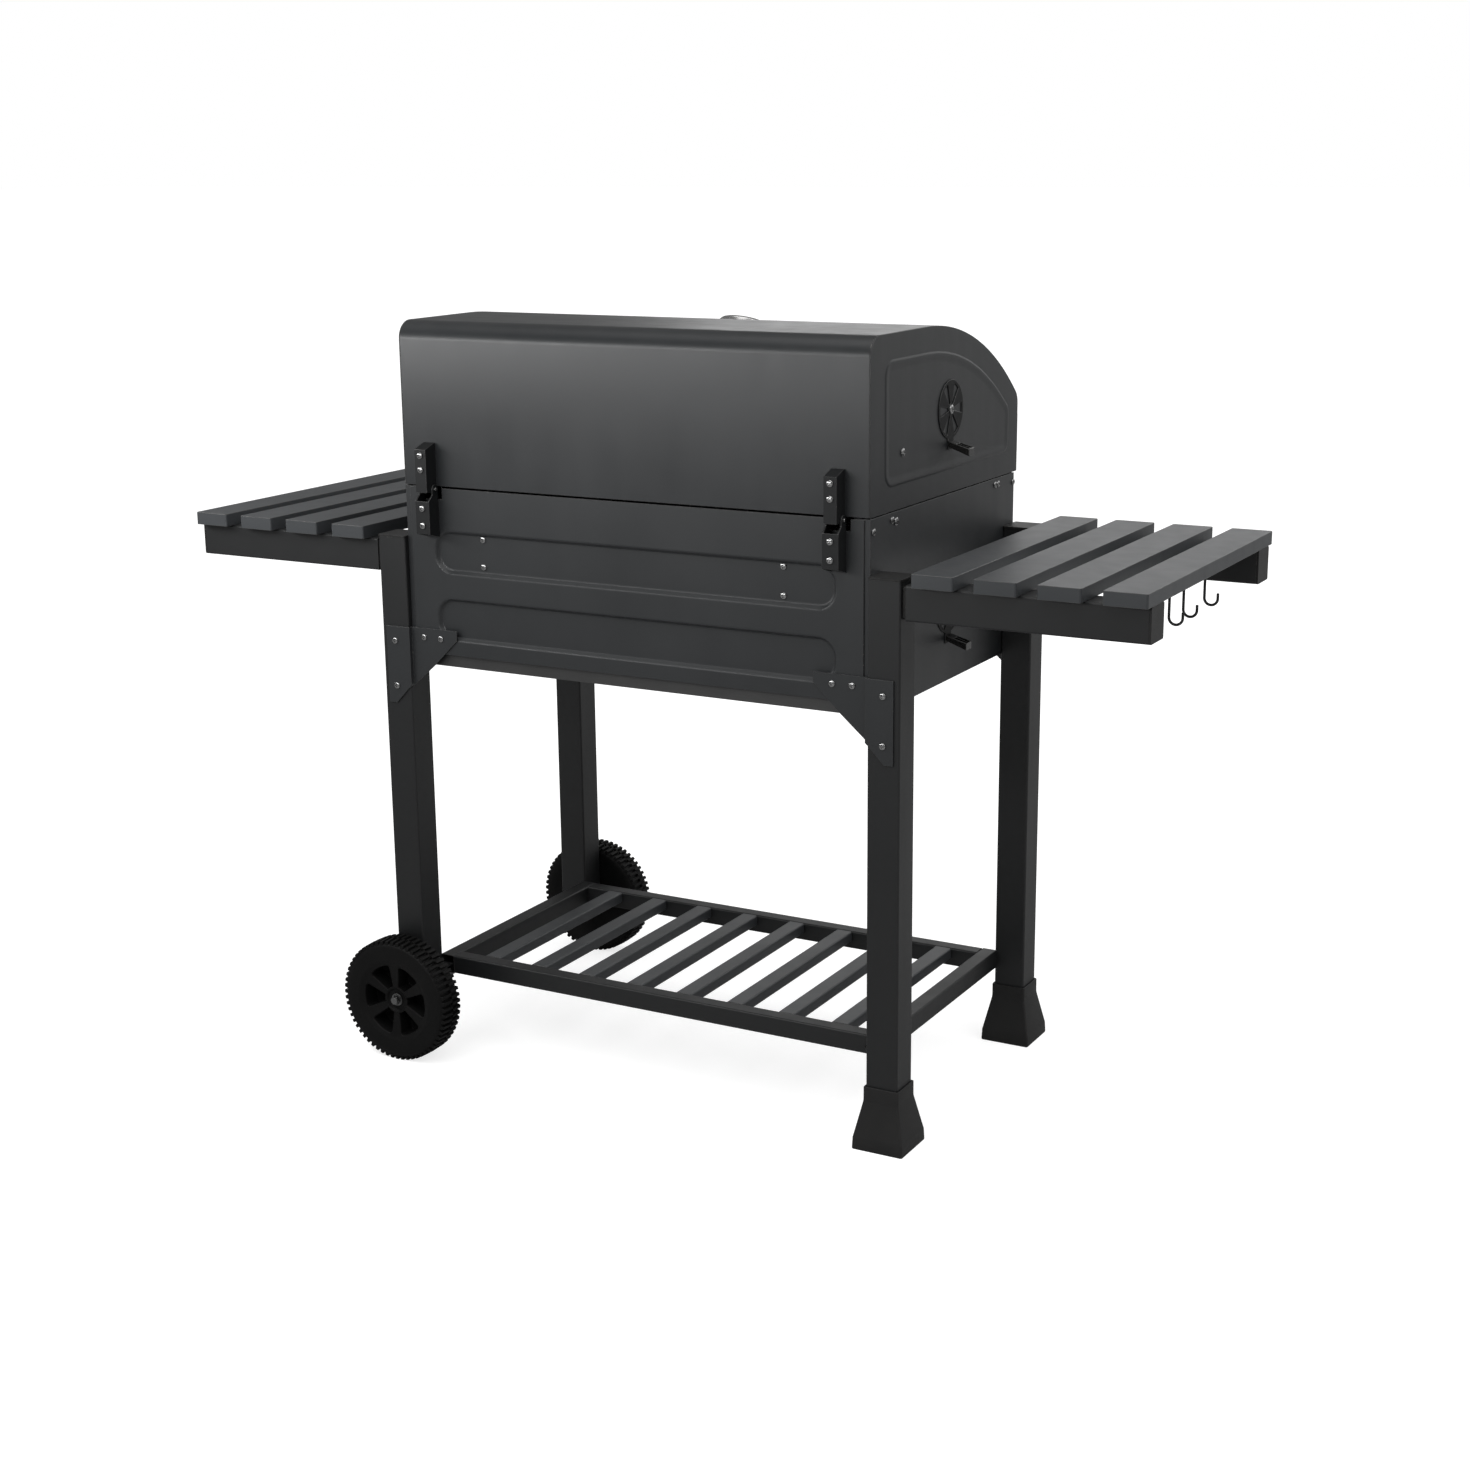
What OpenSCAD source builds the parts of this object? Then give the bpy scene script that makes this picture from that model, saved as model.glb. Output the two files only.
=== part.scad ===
// Charcoal grill on a wheeled cart, with a slatted table at each end and a slatted shelf below.
// The front is towards -Y. Left is -X, the end that stands on feet. Right is +X, the end with wheels.
// The origin is on the ground, under the middle of the cart.

/* [Firebox] */
// Width across the outside of the two end panels
body_w = 786; // [680:1:950]
// Depth from the outside of the front panel to the outside of the rear panel
body_d = 514; // [428:1:620]
// Height of the firebox's top edge above the ground
split_h = 922; // [880:1:1110]
// Height of the end panels
end_panel_h = 280; // [260:1:336]
// How far the front and rear panels stop above the lower edge of the end panels
panel_lift = 21; // [15:1:30]
// Thickness of the sheet steel
sheet = 2; // [1.2:0.1:2.4]
// Width of the flange folded inwards at each side of an end panel
flange_w = 25; // [18:1:30]
// Strip of end panel left showing beside the rear panel
edge_reveal = 9; // [6:1:14]
// Depth of the two long pressings in the rear panel
press_depth = 6; // [4:0.5:7]
// Height of each pressing
press_h = 67; // [50:1:75]
// Distance from the top edge to the middle of the upper pressing
upper_press_drop = 99; // [90:1:105]
// Distance from the top edge to the middle of the lower pressing
lower_press_drop = 203; // [190:1:206]
// Corner radius of the pressings
press_r = 30; // [10:1:33]

/* [Lid] */
// Height of the lid's roof above the firebox's top edge
lid_h = 247; // [206:1:297]
// Height of the flat front wall of the lid
lid_front_h = 105; // [70:1:126]
// Depth of the flat part of the roof, from the rear wall
roof_flat = 186; // [150:1:223]
// Radius of the bend between front wall and roof
front_bend = 25; // [15:1:30]
// Radius of the bend between rear wall and roof
rear_bend = 28; // [15:1:34]
// How far the lid overhangs the front panel
lid_front_over = 8; // [4:1:12]
// Open joint between the lid's rim and the firebox
rim_gap = 1.5; // [0.8:0.1:3]

/* [Lid hinge] */
// Distance of each hinge from the middle of the grill
hinge_x = 344; // [280:1:348]
// Distance of the pin behind the rear panel
pin_back = 7.5; // [7:0.1:9]
// Distance of the pin below the firebox's top edge
pin_drop = 2; // [1:0.5:4]
// Radius of the hinge pin
pin_r = 2.5; // [2:0.1:3]
// Width of a hinge bracket's web
web_w = 20; // [16:1:24]
// Distance the webs stand behind the rear panel
web_back = 24.5; // [22:0.5:28]
// Thickness of the hinge plate
hinge_t = 2.5; // [2:0.1:3]

/* [Handle and gauge] */
// Length of the lid's handle bar
handle_l = 748; // [500:1:760]
// Height of the handle bar
handle_h = 62; // [40:1:70]
// Thickness of the handle bar
handle_t = 12; // [8:1:14]
// Finger room between the lid and the handle bar
handle_gap = 35; // [30:1:38]
// Height of the middle of the handle bar above the firebox's top edge
handle_up = 55; // [45:1:66]
// Outer radius of the gauge's rim
gauge_r = 38; // [30:1:45]
// How far the gauge stands off the lid
gauge_h = 15; // [10:1:20]
// Slope of the lid where the gauge sits
gauge_slope = 20; // [14:1:26]

/* [Dampers] */
// Radius of the turning disc
damper_r = 43; // [36:1:50]
// Height of the lid's dampers above the firebox's top edge
lid_damper_up = 123; // [110:1:135]
// Distance of the firebox's dampers below its top edge
box_damper_drop = 164; // [150:1:180]
// Distance of the dampers in front of the middle
damper_fwd = 8; // [0:1:20]

/* [Legs and feet] */
// Side of the square leg tube
leg_s = 50; // [42:1:60]
// Wall of every square tube
tube_wall = 1.5; // [1:0.1:2.5]
// Height of the leg tops above the ground, with their caps
leg_h = 844; // [820:1:860]
// How far the legs stand proud of the front and rear panels
leg_proud = 7; // [4:1:12]
// Thickness of the tube caps
cap_t = 3; // [2:0.5:5]
// Height of a foot
foot_h = 95; // [79:1:114]
// Spread of a foot beyond its leg, all round
foot_spread = 15.5; // [8:0.5:20]
// Height of the upright band at the base of a foot
foot_band = 18; // [10:1:22]
// Thickness of a foot under its leg
foot_floor = 14; // [8:1:18]
// Wall of a foot's collar
foot_wall = 3; // [2:0.5:5]

/* [Wheels] */
// Radius of the wheels
wheel_r = 100; // [84:1:120]
// Width of the wheels
wheel_w = 48; // [40:1:58]
// Radius of the axle
axle_r = 6; // [5:0.5:8]
// Running clearance of a wheel on the axle
axle_fit = 0.06; // [0.02:0.01:0.1]
// Washer between leg and wheel
spacer_t = 4.7; // [3:0.1:8]
// Windows in each wheel
wheel_windows = 6; // [5:1:8]

/* [Side tables] */
// Reach of each table beyond its legs
table_reach = 355; // [296:1:426]
// Side of the square table beam
beam_s = 50; // [40:1:55]
// Height of the table's top surface above the ground
table_h = 856; // [850:1:870]
// Distance from the leg's outer face to the beam's, seen from the end
beam_inset = 4; // [0:1:8]
// Thickness of the bracket between leg and beam
bracket_t = 5; // [3:0.5:8]
// Slats on each table
table_slats = 4; // [3:1:5]
// Width of a table slat
slat_w = 62; // [52:1:66]
// Thickness of a table slat
slat_t = 20; // [14:1:24]
// Length of a table slat
slat_l = 552; // [520:1:662]
// Distance from the legs to the first slat
slat_start = 20; // [10:1:30]
// Thickness of the hook wire
hook_d = 4; // [3:0.5:5]
// Inner width of a hook
hook_gap = 16; // [12:1:20]
// Length of a hook below the slat
hook_l = 69; // [57:1:80]

/* [Bottom shelf] */
// Height of the shelf's top above the ground
shelf_h = 152; // [140:1:182]
// Width of a shelf rail
rail_w = 26; // [20:1:30]
// Height of a shelf rail
rail_h = 30; // [24:1:36]
// Slats in the shelf
shelf_slats = 8; // [6:1:9]
// Distance from one shelf slat to the next
shelf_pitch = 89.5; // [70:0.5:90]
// Width of a shelf slat
shelf_slat_w = 28; // [20:1:34]
// Thickness of a shelf slat
shelf_slat_t = 18; // [12:1:22]

/* [Inside] */
// Distance from the top edge down to the ledges that hold the grates
ledge_drop = 36; // [30:1:44]
// Width of a ledge
ledge_w = 18; // [12:1:22]
// Bars in each cooking grate
grate_bars = 13; // [8:1:16]
// Width of a grate bar
bar_w = 6; // [4:0.5:8]
// Height of a grate bar
bar_h = 9; // [6:0.5:12]
// Depth of a charcoal tray
tray_h = 42; // [35:1:50]
// Height of a lowered tray above the lower edge of the end panels
tray_up = 61; // [55:1:70]
// Travel of a charcoal tray
tray_travel = 80; // [40:1:90]
// Clearance between a tray and its guides
tray_fit = 0.5; // [0.3:0.1:1.5]
// Distance of the lid's rack pivot in front of the rear panel
rack_pivot_fwd = 103; // [90:1:115]
// Height of the lid's rack pivot above the top edge
rack_pivot_up = 80; // [70:1:90]
// Distance of the firebox's link pivot in front of the rear panel
link_pivot_fwd = 83; // [70:1:88]
// Distance of the link pivot below the top edge
link_pivot_drop = 14; // [12:1:17]
// Depth of the warming rack
rack_d = 180; // [150:1:216]
// Radius of the rack's pivot pins
pivot_r = 4; // [3:0.5:5]
// Running clearance of the pivots and hinges
pivot_fit = 0.06; // [0.02:0.01:0.1]

/* [Fasteners] */
// Radius of a screw's head
head_r = 5; // [4:0.5:6]
// Height of a screw's head
head_h = 2.8; // [2:0.1:4]
// Radius of a screw's shank
screw_r = 2.2; // [1.5:0.1:2.5]

/* [Hidden] */
$fn = 64;
eps = 0.02;

// Half sizes of the firebox and where its panels lie
half_w = body_w / 2;
half_d = body_d / 2;
box_bottom = split_h - end_panel_h;
panel_bottom = box_bottom + panel_lift;
panel_half_w = half_w - edge_reveal;
inner_w = half_w - sheet;
press_margin = 46;
press_w = 2 * (panel_half_w - press_margin);
press_corner = min(press_r, press_h / 2 - 1);

// Legs stand against the end panels
leg_x = half_w + leg_s / 2;
leg_y = half_d + leg_proud - leg_s / 2;
leg_out_x = half_w + leg_s;
leg_out_y = half_d + leg_proud;
tube_r = 3;
cap_over = 1;
wheel_leg_bottom = wheel_r - leg_s / 2;
foot_collar_h = 25;

// Lid outline, as seen from the end
lid_rear = half_d - 1;
lid_front = -half_d - lid_front_over;
lid_bottom = split_h + rim_gap;
roof_z = split_h + lid_h;
roof_y = lid_rear - roof_flat;
front_bend_y = lid_front + front_bend;
front_bend_z = lid_bottom + lid_front_h;
slope_run = roof_y - front_bend_y;
slope_drop = roof_z - front_bend_z;
roof_r = (slope_run * slope_run + slope_drop * slope_drop - front_bend * front_bend)
  / (2 * (slope_drop - front_bend));
bend_dir = atan2(front_bend_z - (roof_z - roof_r), front_bend_y - roof_y);
plate_w = 340;
plate_t = 2;
plate_span = 8;

// Hinge line, and the pivots of the warming rack's parallelogram
pin_y = half_d + pin_back;
pin_z = split_h - pin_drop;
hinge_gap = 0.3;
web_y = half_d + web_back;
lower_web_top = pin_z - 17;
lower_web_bottom = pin_z - 67;
upper_web_bottom = pin_z - 4;
upper_web_top = pin_z + 61;
notch_w = 38;
notch_h = 18;
rack_a = [half_d - rack_pivot_fwd, split_h + rack_pivot_up];
link_g = [half_d - link_pivot_fwd, split_h - link_pivot_drop];
link_v = rack_a - [pin_y, pin_z];
rack_b = link_g + link_v;
open_pivot_fit = 0.5;
link_t = 3;
link_x = inner_w - 13;
rack_plate_x = inner_w - 25;
rack_plate_t = 3;
rack_front = rack_a[0] + 12 - rack_d;
rack_bar_r = 2.5;
rack_bars = 9;

// Dampers
damper_t = 1.5;
damper_gap = 0.3;
window_in = 9;
window_out = damper_r - 5;
window_half = 12;
window_count = 6;
rivet_r = 3;
tab_w = 20;
tab_out = damper_r + 15;
knob_l = 33;
knob_h = 13;
knob_root_h = 8;
knob_end_h = 12;
knob_drop = 9;
knob_round = 1.2;

// Wheels
axle_x = leg_x;
wheel_in = leg_out_y + spacer_t + 0.3;
wheel_out = wheel_in + wheel_w;
hub_r = 21;
hub_recess = 12;
wheel_dish = 10;
wheel_wall = 4;
window_rim = 8;
window_hub = 5;
wheel_window_half = 17.5;
nut_r = 8;
nut_t = 6;
washer_t = 2;
washer_r = 12;
nut_washer_r = 10;

// Tables
beam_top = table_h - slat_t;
beam_y = leg_out_y - beam_inset - beam_s / 2;
table_end = leg_out_x + table_reach;
slat_pitch = (table_reach - slat_start - slat_w) / (table_slats - 1);
hook_x = table_end - slat_w + 9;
hook_pairs = [31, 126];

// Shelf
shelf_out_x = half_w + 4;
shelf_out_y = leg_y - leg_s / 2;
shelf_bracket_t = 3;

// Charcoal trays, side by side
tray_side_gap = 4;
tray_margin = 19;
tray_w = inner_w - tray_margin - tray_side_gap;
tray_x = tray_side_gap + tray_w / 2;
tray_z = box_bottom + tray_up;
guide_t = 11;
guide_w = 24;
guide_x = tray_x + 68;
tray_half_d = half_d - press_depth - sheet - guide_t + 0.5 - tray_fit;
guide_bottom = tray_z - 4;
guide_top = tray_z + tray_travel + 77;
shaft_w = 8;
shaft_h = 14;
shaft_z = tray_z + 25;
slot_w = shaft_w + 2;
slot_low = shaft_z - 3;
slot_high = shaft_z + shaft_h + tray_travel + 3;
slot_plate_w = 64;
slot_plate_margin = 14;
grip_r = 10;
grip_l = 100;
grip_y = -half_d - 40;

// Grates rest on the ledges
ledge_z = split_h - ledge_drop;
grates = 3;
grate_margin = 18;
grate_gap = 1.5;
grate_w = (2 * (inner_w - grate_margin) - (grates - 1) * grate_gap) / grates;
grate_half_d = half_d - sheet - 9;

// Gusset outline seen from behind, measured from the leg's inner face and the panel's lower edge
gusset_t = 2.5;
gusset_in = 87;
gusset_down = 83;
gusset_up = 39;
gusset_outer = leg_s - 9;

// Screws: place x, y, z, the direction its head faces, and the shank's length
BACK = [-90, 0, 0];
FRONT = [90, 0, 0];
RIGHT = [0, 90, 0];
LEFT = [0, -90, 0];
gusset_screws = [for (sx = [-1, 1], sy = [-1, 1])
  each [for (p = [[half_w - 25.5, panel_bottom + 24.5, 0], [half_w - 57, panel_bottom + 24.5, 0],
                  [leg_x, panel_bottom + 16, leg_proud], [leg_x, panel_bottom - 55.5, leg_proud]])
    [sx * p[0], sy * (half_d + gusset_t + p[2]), p[1], sy > 0 ? BACK : FRONT, gusset_t + 6]]];
guide_screws = [for (sx = [-1, 1], dz = [-19, 23])
  [sx * guide_x, half_d - press_depth, split_h - upper_press_drop + dz, BACK, sheet + 6]];
end_screws = [for (sx = [-1, 1], p = [[half_d - 10.5, 18.5], [half_d - link_pivot_fwd + 13, 10.5], [-half_d + 66, 9.5],
                                      [-half_d + 78, 9.5], [-half_d + 7, 14]])
  [sx * half_w, p[0], split_h - p[1], sx > 0 ? RIGHT : LEFT, sheet + 4]];
hinge_low_screws = [for (sx = [-1, 1], dz = [11, 37])
  [sx * hinge_x, web_y, lower_web_top - dz, BACK, web_back + 6]];
hinge_up_screws = [for (sx = [-1, 1], dz = [30.5, 52])
  [sx * hinge_x, web_y, pin_z + dz, BACK, web_back + 6]];
shelf_bolts = [for (sx = [-1, 1], sy = [-1, 1])
  [sx * half_w, sy * leg_y, shelf_h - 38, sx > 0 ? LEFT : RIGHT, tube_wall + 6]];
standoff_x = 300;
standoff_r = 8;
standoff_screws = [for (sx = [-1, 1])
  [sx * standoff_x, lid_front + sheet, split_h + handle_up, BACK, sheet + 10]];

// ---------- helpers ----------

// Extrudes an outline drawn in Y and Z from x0 to x1
module along_x(x0, x1) {
  translate([x0, 0, 0]) rotate([90, 0, 90]) linear_extrude(x1 - x0) children();
}

// Extrudes an outline drawn in X and Z from y0 to y1
module along_y(y0, y1) {
  translate([0, y1, 0]) rotate([90, 0, 0]) linear_extrude(y1 - y0) children();
}

module rect(x0, y0, x1, y1) {
  translate([x0, y0]) square([x1 - x0, y1 - y0]);
}

module block(x0, y0, z0, x1, y1, z1) {
  translate([x0, y0, z0]) cube([x1 - x0, y1 - y0, z1 - z0]);
}

module rounded(w, h, r) {
  square([w - 2 * r, h], center = true);
  square([w, h - 2 * r], center = true);
  for (sx = [-1, 1], sy = [-1, 1]) translate([sx * (w / 2 - r), sy * (h / 2 - r)]) circle(r = r);
}

module on_side(side) {
  if (side < 0) mirror([1, 0, 0]) children();
  else children();
}

module square_tube(s, l) {
  linear_extrude(l) difference() {
    rounded(s, s, tube_r);
    rounded(s - 2 * tube_wall, s - 2 * tube_wall, tube_r - tube_wall);
  }
}

module screw(s) {
  translate([s[0], s[1], s[2]]) rotate(s[3]) {
    cylinder(r = head_r, h = head_h);
    translate([0, 0, -s[4]]) cylinder(r = screw_r, h = s[4] + eps);
  }
}

module drill(list) {
  for (s = list) translate([s[0], s[1], s[2]]) rotate(s[3])
    translate([0, 0, -s[4]]) cylinder(r = screw_r, h = s[4] + 1);
}

// ---------- cart ----------

module leg(sx, sy) {
  color("#26272b") difference() {
    translate([sx * leg_x, sy * leg_y, sx < 0 ? foot_floor : wheel_leg_bottom])
      square_tube(leg_s, leg_h - cap_t - (sx < 0 ? foot_floor : wheel_leg_bottom));
    drill(gusset_screws);
    drill(shelf_bolts);
    if (sx > 0) translate([axle_x, 0, wheel_r]) rotate([90, 0, 0])
      cylinder(r = axle_r, h = 2 * leg_out_y + 2, center = true);
  }
}

module tube_caps() {
  color("#1b1b1d") {
    for (sx = [-1, 1], sy = [-1, 1]) {
      translate([sx * (leg_x + cap_over / 2), sy * leg_y, leg_h - cap_t])
        linear_extrude(cap_t) rounded(leg_s + cap_over, leg_s + 2 * cap_over, tube_r);
      on_side(sx) along_x(table_end - cap_t, table_end)
        translate([sy * beam_y, beam_top - beam_s / 2]) rounded(beam_s, beam_s, tube_r);
    }
  }
}

// A flared foot with a collar, hollow where the leg goes in
module foot(sy) {
  base = leg_s + 2 * foot_spread;
  collar = leg_s + 2 * foot_wall;
  color("#1d1d20") translate([-leg_x, sy * leg_y, 0]) difference() {
    union() {
      linear_extrude(foot_band) rounded(base, base, 5);
      hull() {
        translate([0, 0, foot_band]) linear_extrude(0.1) rounded(base, base, 5, $fn = 24);
        translate([0, 0, (foot_band + foot_h - foot_collar_h) / 2]) linear_extrude(0.1)
          rounded(leg_s + foot_spread + 2, leg_s + foot_spread + 2, 5, $fn = 24);
      }
      hull() {
        translate([0, 0, (foot_band + foot_h - foot_collar_h) / 2]) linear_extrude(0.1)
          rounded(leg_s + foot_spread + 2, leg_s + foot_spread + 2, 5, $fn = 24);
        translate([0, 0, foot_h - foot_collar_h]) linear_extrude(0.1)
          rounded(collar, collar, 5, $fn = 24);
      }
      translate([0, 0, foot_h - foot_collar_h]) linear_extrude(foot_collar_h)
        rounded(collar, collar, 5);
    }
    translate([0, 0, foot_floor]) linear_extrude(foot_h) rounded(leg_s, leg_s, tube_r);
  }
}

module gusset_outline() {
  x0 = half_w;
  z0 = panel_bottom;
  polygon([[x0 - gusset_in, z0 + gusset_up], [x0 - gusset_in, z0 + gusset_up - 15],
    [x0 - gusset_in + 42, z0 - 17], [x0 + 5, z0 - 60], [x0 + 27, z0 - gusset_down],
    [x0 + gusset_outer, z0 - gusset_down], [x0 + gusset_outer, z0 + gusset_up]]);
}

// Stepped plates that tie the panels to the legs
module gussets() {
  color("#26272b") difference() {
    for (sx = [-1, 1], sy = [0, 1]) on_side(sx) mirror([0, sy, 0]) {
      intersection() {
        along_y(half_d, half_d + leg_proud + gusset_t) gusset_outline();
        union() {
          block(0, half_d, 0, half_w, half_d + gusset_t, split_h);
          block(half_w - gusset_t, half_d, 0, half_w, half_d + leg_proud + gusset_t, split_h);
          block(half_w - gusset_t, leg_out_y, 0, leg_out_x, leg_out_y + gusset_t, split_h);
        }
      }
    }
    drill(gusset_screws);
  }
}

module press_outline(drop, shrink) {
  translate([0, split_h - drop])
    rounded(press_w - 2 * shrink, press_h - 2 * shrink, press_corner - shrink);
}

module firebox_rear() {
  color("#2b2c30") difference() {
    union() {
      along_y(half_d - sheet, half_d) rect(-panel_half_w, panel_bottom, panel_half_w, split_h);
      for (drop = [upper_press_drop, lower_press_drop])
        along_y(half_d - press_depth - sheet, half_d) press_outline(drop, 0);
    }
    for (drop = [upper_press_drop, lower_press_drop])
      along_y(half_d - press_depth, half_d + 1) press_outline(drop, sheet);
    for (sx = [-1, 1]) along_y(half_d - sheet - 1, half_d + 1)
      rect(sx * hinge_x - notch_w / 2, split_h - notch_h, sx * hinge_x + notch_w / 2, split_h + 1);
    drill(gusset_screws);
    drill(guide_screws);
    drill(hinge_low_screws);
  }
}

module slot_outline() {
  rect(-slot_w / 2, slot_low, slot_w / 2, slot_high);
  for (z = [slot_low, slot_low + tray_travel / 2, slot_high - shaft_h - 6])
    rect(-slot_w / 2, z, slot_w / 2 + shaft_w, z + shaft_h + 6);
}

module firebox_front() {
  color("#2b2c30") difference() {
    along_y(-half_d, -half_d + sheet) rect(-panel_half_w, panel_bottom, panel_half_w, split_h);
    for (sx = [-1, 1]) along_y(-half_d - 1, -half_d + sheet + 1)
      translate([sx * tray_x, 0]) slot_outline();
    drill(gusset_screws);
  }
}

module lift_slot_plates() {
  color("#77787c") for (sx = [-1, 1])
    along_y(-half_d - sheet, -half_d) translate([sx * tray_x, 0]) difference() {
      translate([0, (slot_low + slot_high) / 2])
        rounded(slot_plate_w, slot_high - slot_low + 2 * slot_plate_margin, 6);
      slot_outline();
    }
}

// Ring of vent windows, centred on the outline's origin and turned by part of their pitch
module windows(turned) {
  for (i = [0 : window_count - 1]) rotate((i + turned) * 360 / window_count) intersection() {
    difference() {
      circle(r = window_out);
      circle(r = window_in);
    }
    polygon([[0, 0], [2 * window_out * cos(window_half), -2 * window_out * sin(window_half)],
      [2 * window_out * cos(window_half), 2 * window_out * sin(window_half)]]);
  }
}

module vent_cut(z) {
  translate([-damper_fwd, z]) {
    windows(0.5);
    circle(r = rivet_r);
  }
}

module firebox_end(side) {
  color("#2b2c30") difference() {
    on_side(side) {
      difference() {
        along_x(inner_w, half_w) rect(-half_d + sheet, box_bottom, half_d - sheet, split_h);
        along_x(inner_w - 1, half_w + 1) {
          vent_cut(split_h - box_damper_drop);
          translate(link_g) circle(r = pivot_r);
        }
      }
      for (sy = [0, 1]) mirror([0, sy, 0])
        block(half_w - flange_w, half_d - 2 * sheet, panel_bottom, inner_w + eps,
          half_d - sheet, split_h);
    }
    drill(end_screws);
    drill(gusset_screws);
  }
}

// Shallow pan that closes the firebox from below
module firebox_floor() {
  pan_d = half_d - press_depth - sheet - 1;
  z0 = box_bottom + 1;
  color("#202124") difference() {
    block(-inner_w, -pan_d, z0, inner_w, pan_d, panel_bottom + 20);
    block(-inner_w + sheet, -pan_d + sheet, z0 + sheet, inner_w - sheet, pan_d - sheet, split_h);
  }
}

module grate_ledges() {
  color("#55565a") for (sy = [0, 1]) mirror([0, sy, 0]) {
    block(-inner_w + flange_w, half_d - sheet - ledge_w, ledge_z - sheet,
      inner_w - flange_w, half_d - sheet, ledge_z);
  }
}

module tray_guides() {
  color("#55565a") difference() {
    for (sx = [-1, 1]) {
      block(sx * guide_x - guide_w / 2, tray_half_d + tray_fit, guide_bottom,
        sx * guide_x + guide_w / 2, half_d - press_depth - sheet, guide_top);
      block(sx * guide_x - guide_w / 2, -half_d + sheet, guide_bottom,
        sx * guide_x + guide_w / 2, -tray_half_d - tray_fit, guide_top);
    }
    drill(guide_screws);
  }
}

module rod_x(y, z, r, x0, x1) {
  translate([x0, y, z]) rotate([0, 90, 0]) cylinder(r = r, h = x1 - x0);
}

module cooking_grate(i) {
  x0 = -(inner_w - grate_margin) + i * (grate_w + grate_gap);
  step = (grate_w - bar_w) / (grate_bars - 1);
  color("#3a3a3c") union() {
    for (x = [for (b = [0 : grate_bars - 1]) x0 + b * step])
      block(x, -grate_half_d, ledge_z, x + bar_w, grate_half_d, ledge_z + bar_h);
    for (y = [-grate_half_d, -bar_w / 2, grate_half_d - bar_w])
      block(x0, y, ledge_z, x0 + grate_w, y + bar_w, ledge_z + bar_h - 2);
  }
}

module table_beams(side) {
  color("#232427") on_side(side) for (sy = [-1, 1])
    translate([leg_out_x + bracket_t, sy * beam_y, beam_top - beam_s / 2]) rotate([0, 90, 0])
      square_tube(beam_s, table_reach - bracket_t - cap_t);
}

module beam_brackets() {
  color("#1b1b1d") for (sx = [-1, 1], sy = [-1, 1]) on_side(sx)
    along_x(leg_out_x, leg_out_x + bracket_t)
      translate([sy * beam_y, beam_top - beam_s / 2]) rounded(beam_s - 4, beam_s - 4, tube_r);
}

// Folded slats, open below
module table_slat_set(side) {
  color("#2f3033") on_side(side) for (i = [0 : table_slats - 1])
    translate([leg_out_x + slat_start + i * slat_pitch + slat_w / 2, 0, beam_top]) difference() {
      linear_extrude(slat_t) rounded(slat_w, slat_l, 3);
      translate([0, 0, -1]) linear_extrude(slat_t - tube_wall + 1)
        square([slat_w - 2 * tube_wall, slat_l - 2 * tube_wall], center = true);
    }
}

// J hooks under the outer slat of the left table
module tool_hooks() {
  r = (hook_gap + hook_d) / 2;
  color("#2a2a2c") for (sy = [-1, 1], y = hook_pairs) translate([-hook_x, sy * y, beam_top]) {
    translate([0, 0, -hook_l + r]) cylinder(d = hook_d, h = hook_l - r);
    translate([-r, 0, -hook_l + r]) rotate([90, 0, 0]) rotate([0, 0, 180])
      rotate_extrude(angle = 180) translate([r, 0]) circle(d = hook_d, $fn = 24);
    translate([-2 * r, 0, -hook_l + r]) cylinder(d = hook_d, h = 8);
  }
}

// Section of a shelf tube, hung from its top middle
module tube_section(w, h) {
  translate([0, -h / 2]) difference() {
    rounded(w, h, tube_r);
    rounded(w - 2 * tube_wall, h - 2 * tube_wall, tube_r - tube_wall);
  }
}

module shelf_end_rails() {
  color("#26272b") for (sx = [-1, 1]) along_y(-shelf_out_y, shelf_out_y)
    translate([sx * (shelf_out_x - rail_w / 2), shelf_h]) tube_section(rail_w, rail_h);
}

module shelf_long_rails() {
  x1 = shelf_out_x - rail_w;
  color("#26272b") for (sy = [-1, 1]) along_x(-x1, x1)
    translate([sy * (shelf_out_y - rail_w / 2), shelf_h]) tube_section(rail_w, rail_h);
}

module shelf_slat_set() {
  l = shelf_out_y - rail_w;
  color("#2a2b2f") for (i = [0 : shelf_slats - 1]) along_y(-l, l)
    translate([(i - (shelf_slats - 1) / 2) * shelf_pitch, shelf_h])
      tube_section(shelf_slat_w, shelf_slat_t);
}

// Small corner plates between the legs and the long rails
module shelf_brackets() {
  color("#26272b") for (sx = [-1, 1], sy = [0, 1]) on_side(sx) mirror([0, sy, 0])
    translate([half_w, shelf_out_y, shelf_h - 15]) linear_extrude(shelf_bracket_t)
      polygon([[0, 0], [0, 30], [-6, 30], [-20, 14], [-20, 0]]);
}

module wheel_axle() {
  l = wheel_out - hub_recess + washer_t + nut_t + 2;
  color("#8b8c90") translate([axle_x, 0, wheel_r]) rotate([90, 0, 0])
    cylinder(r = axle_r, h = 2 * l, center = true);
}

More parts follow.
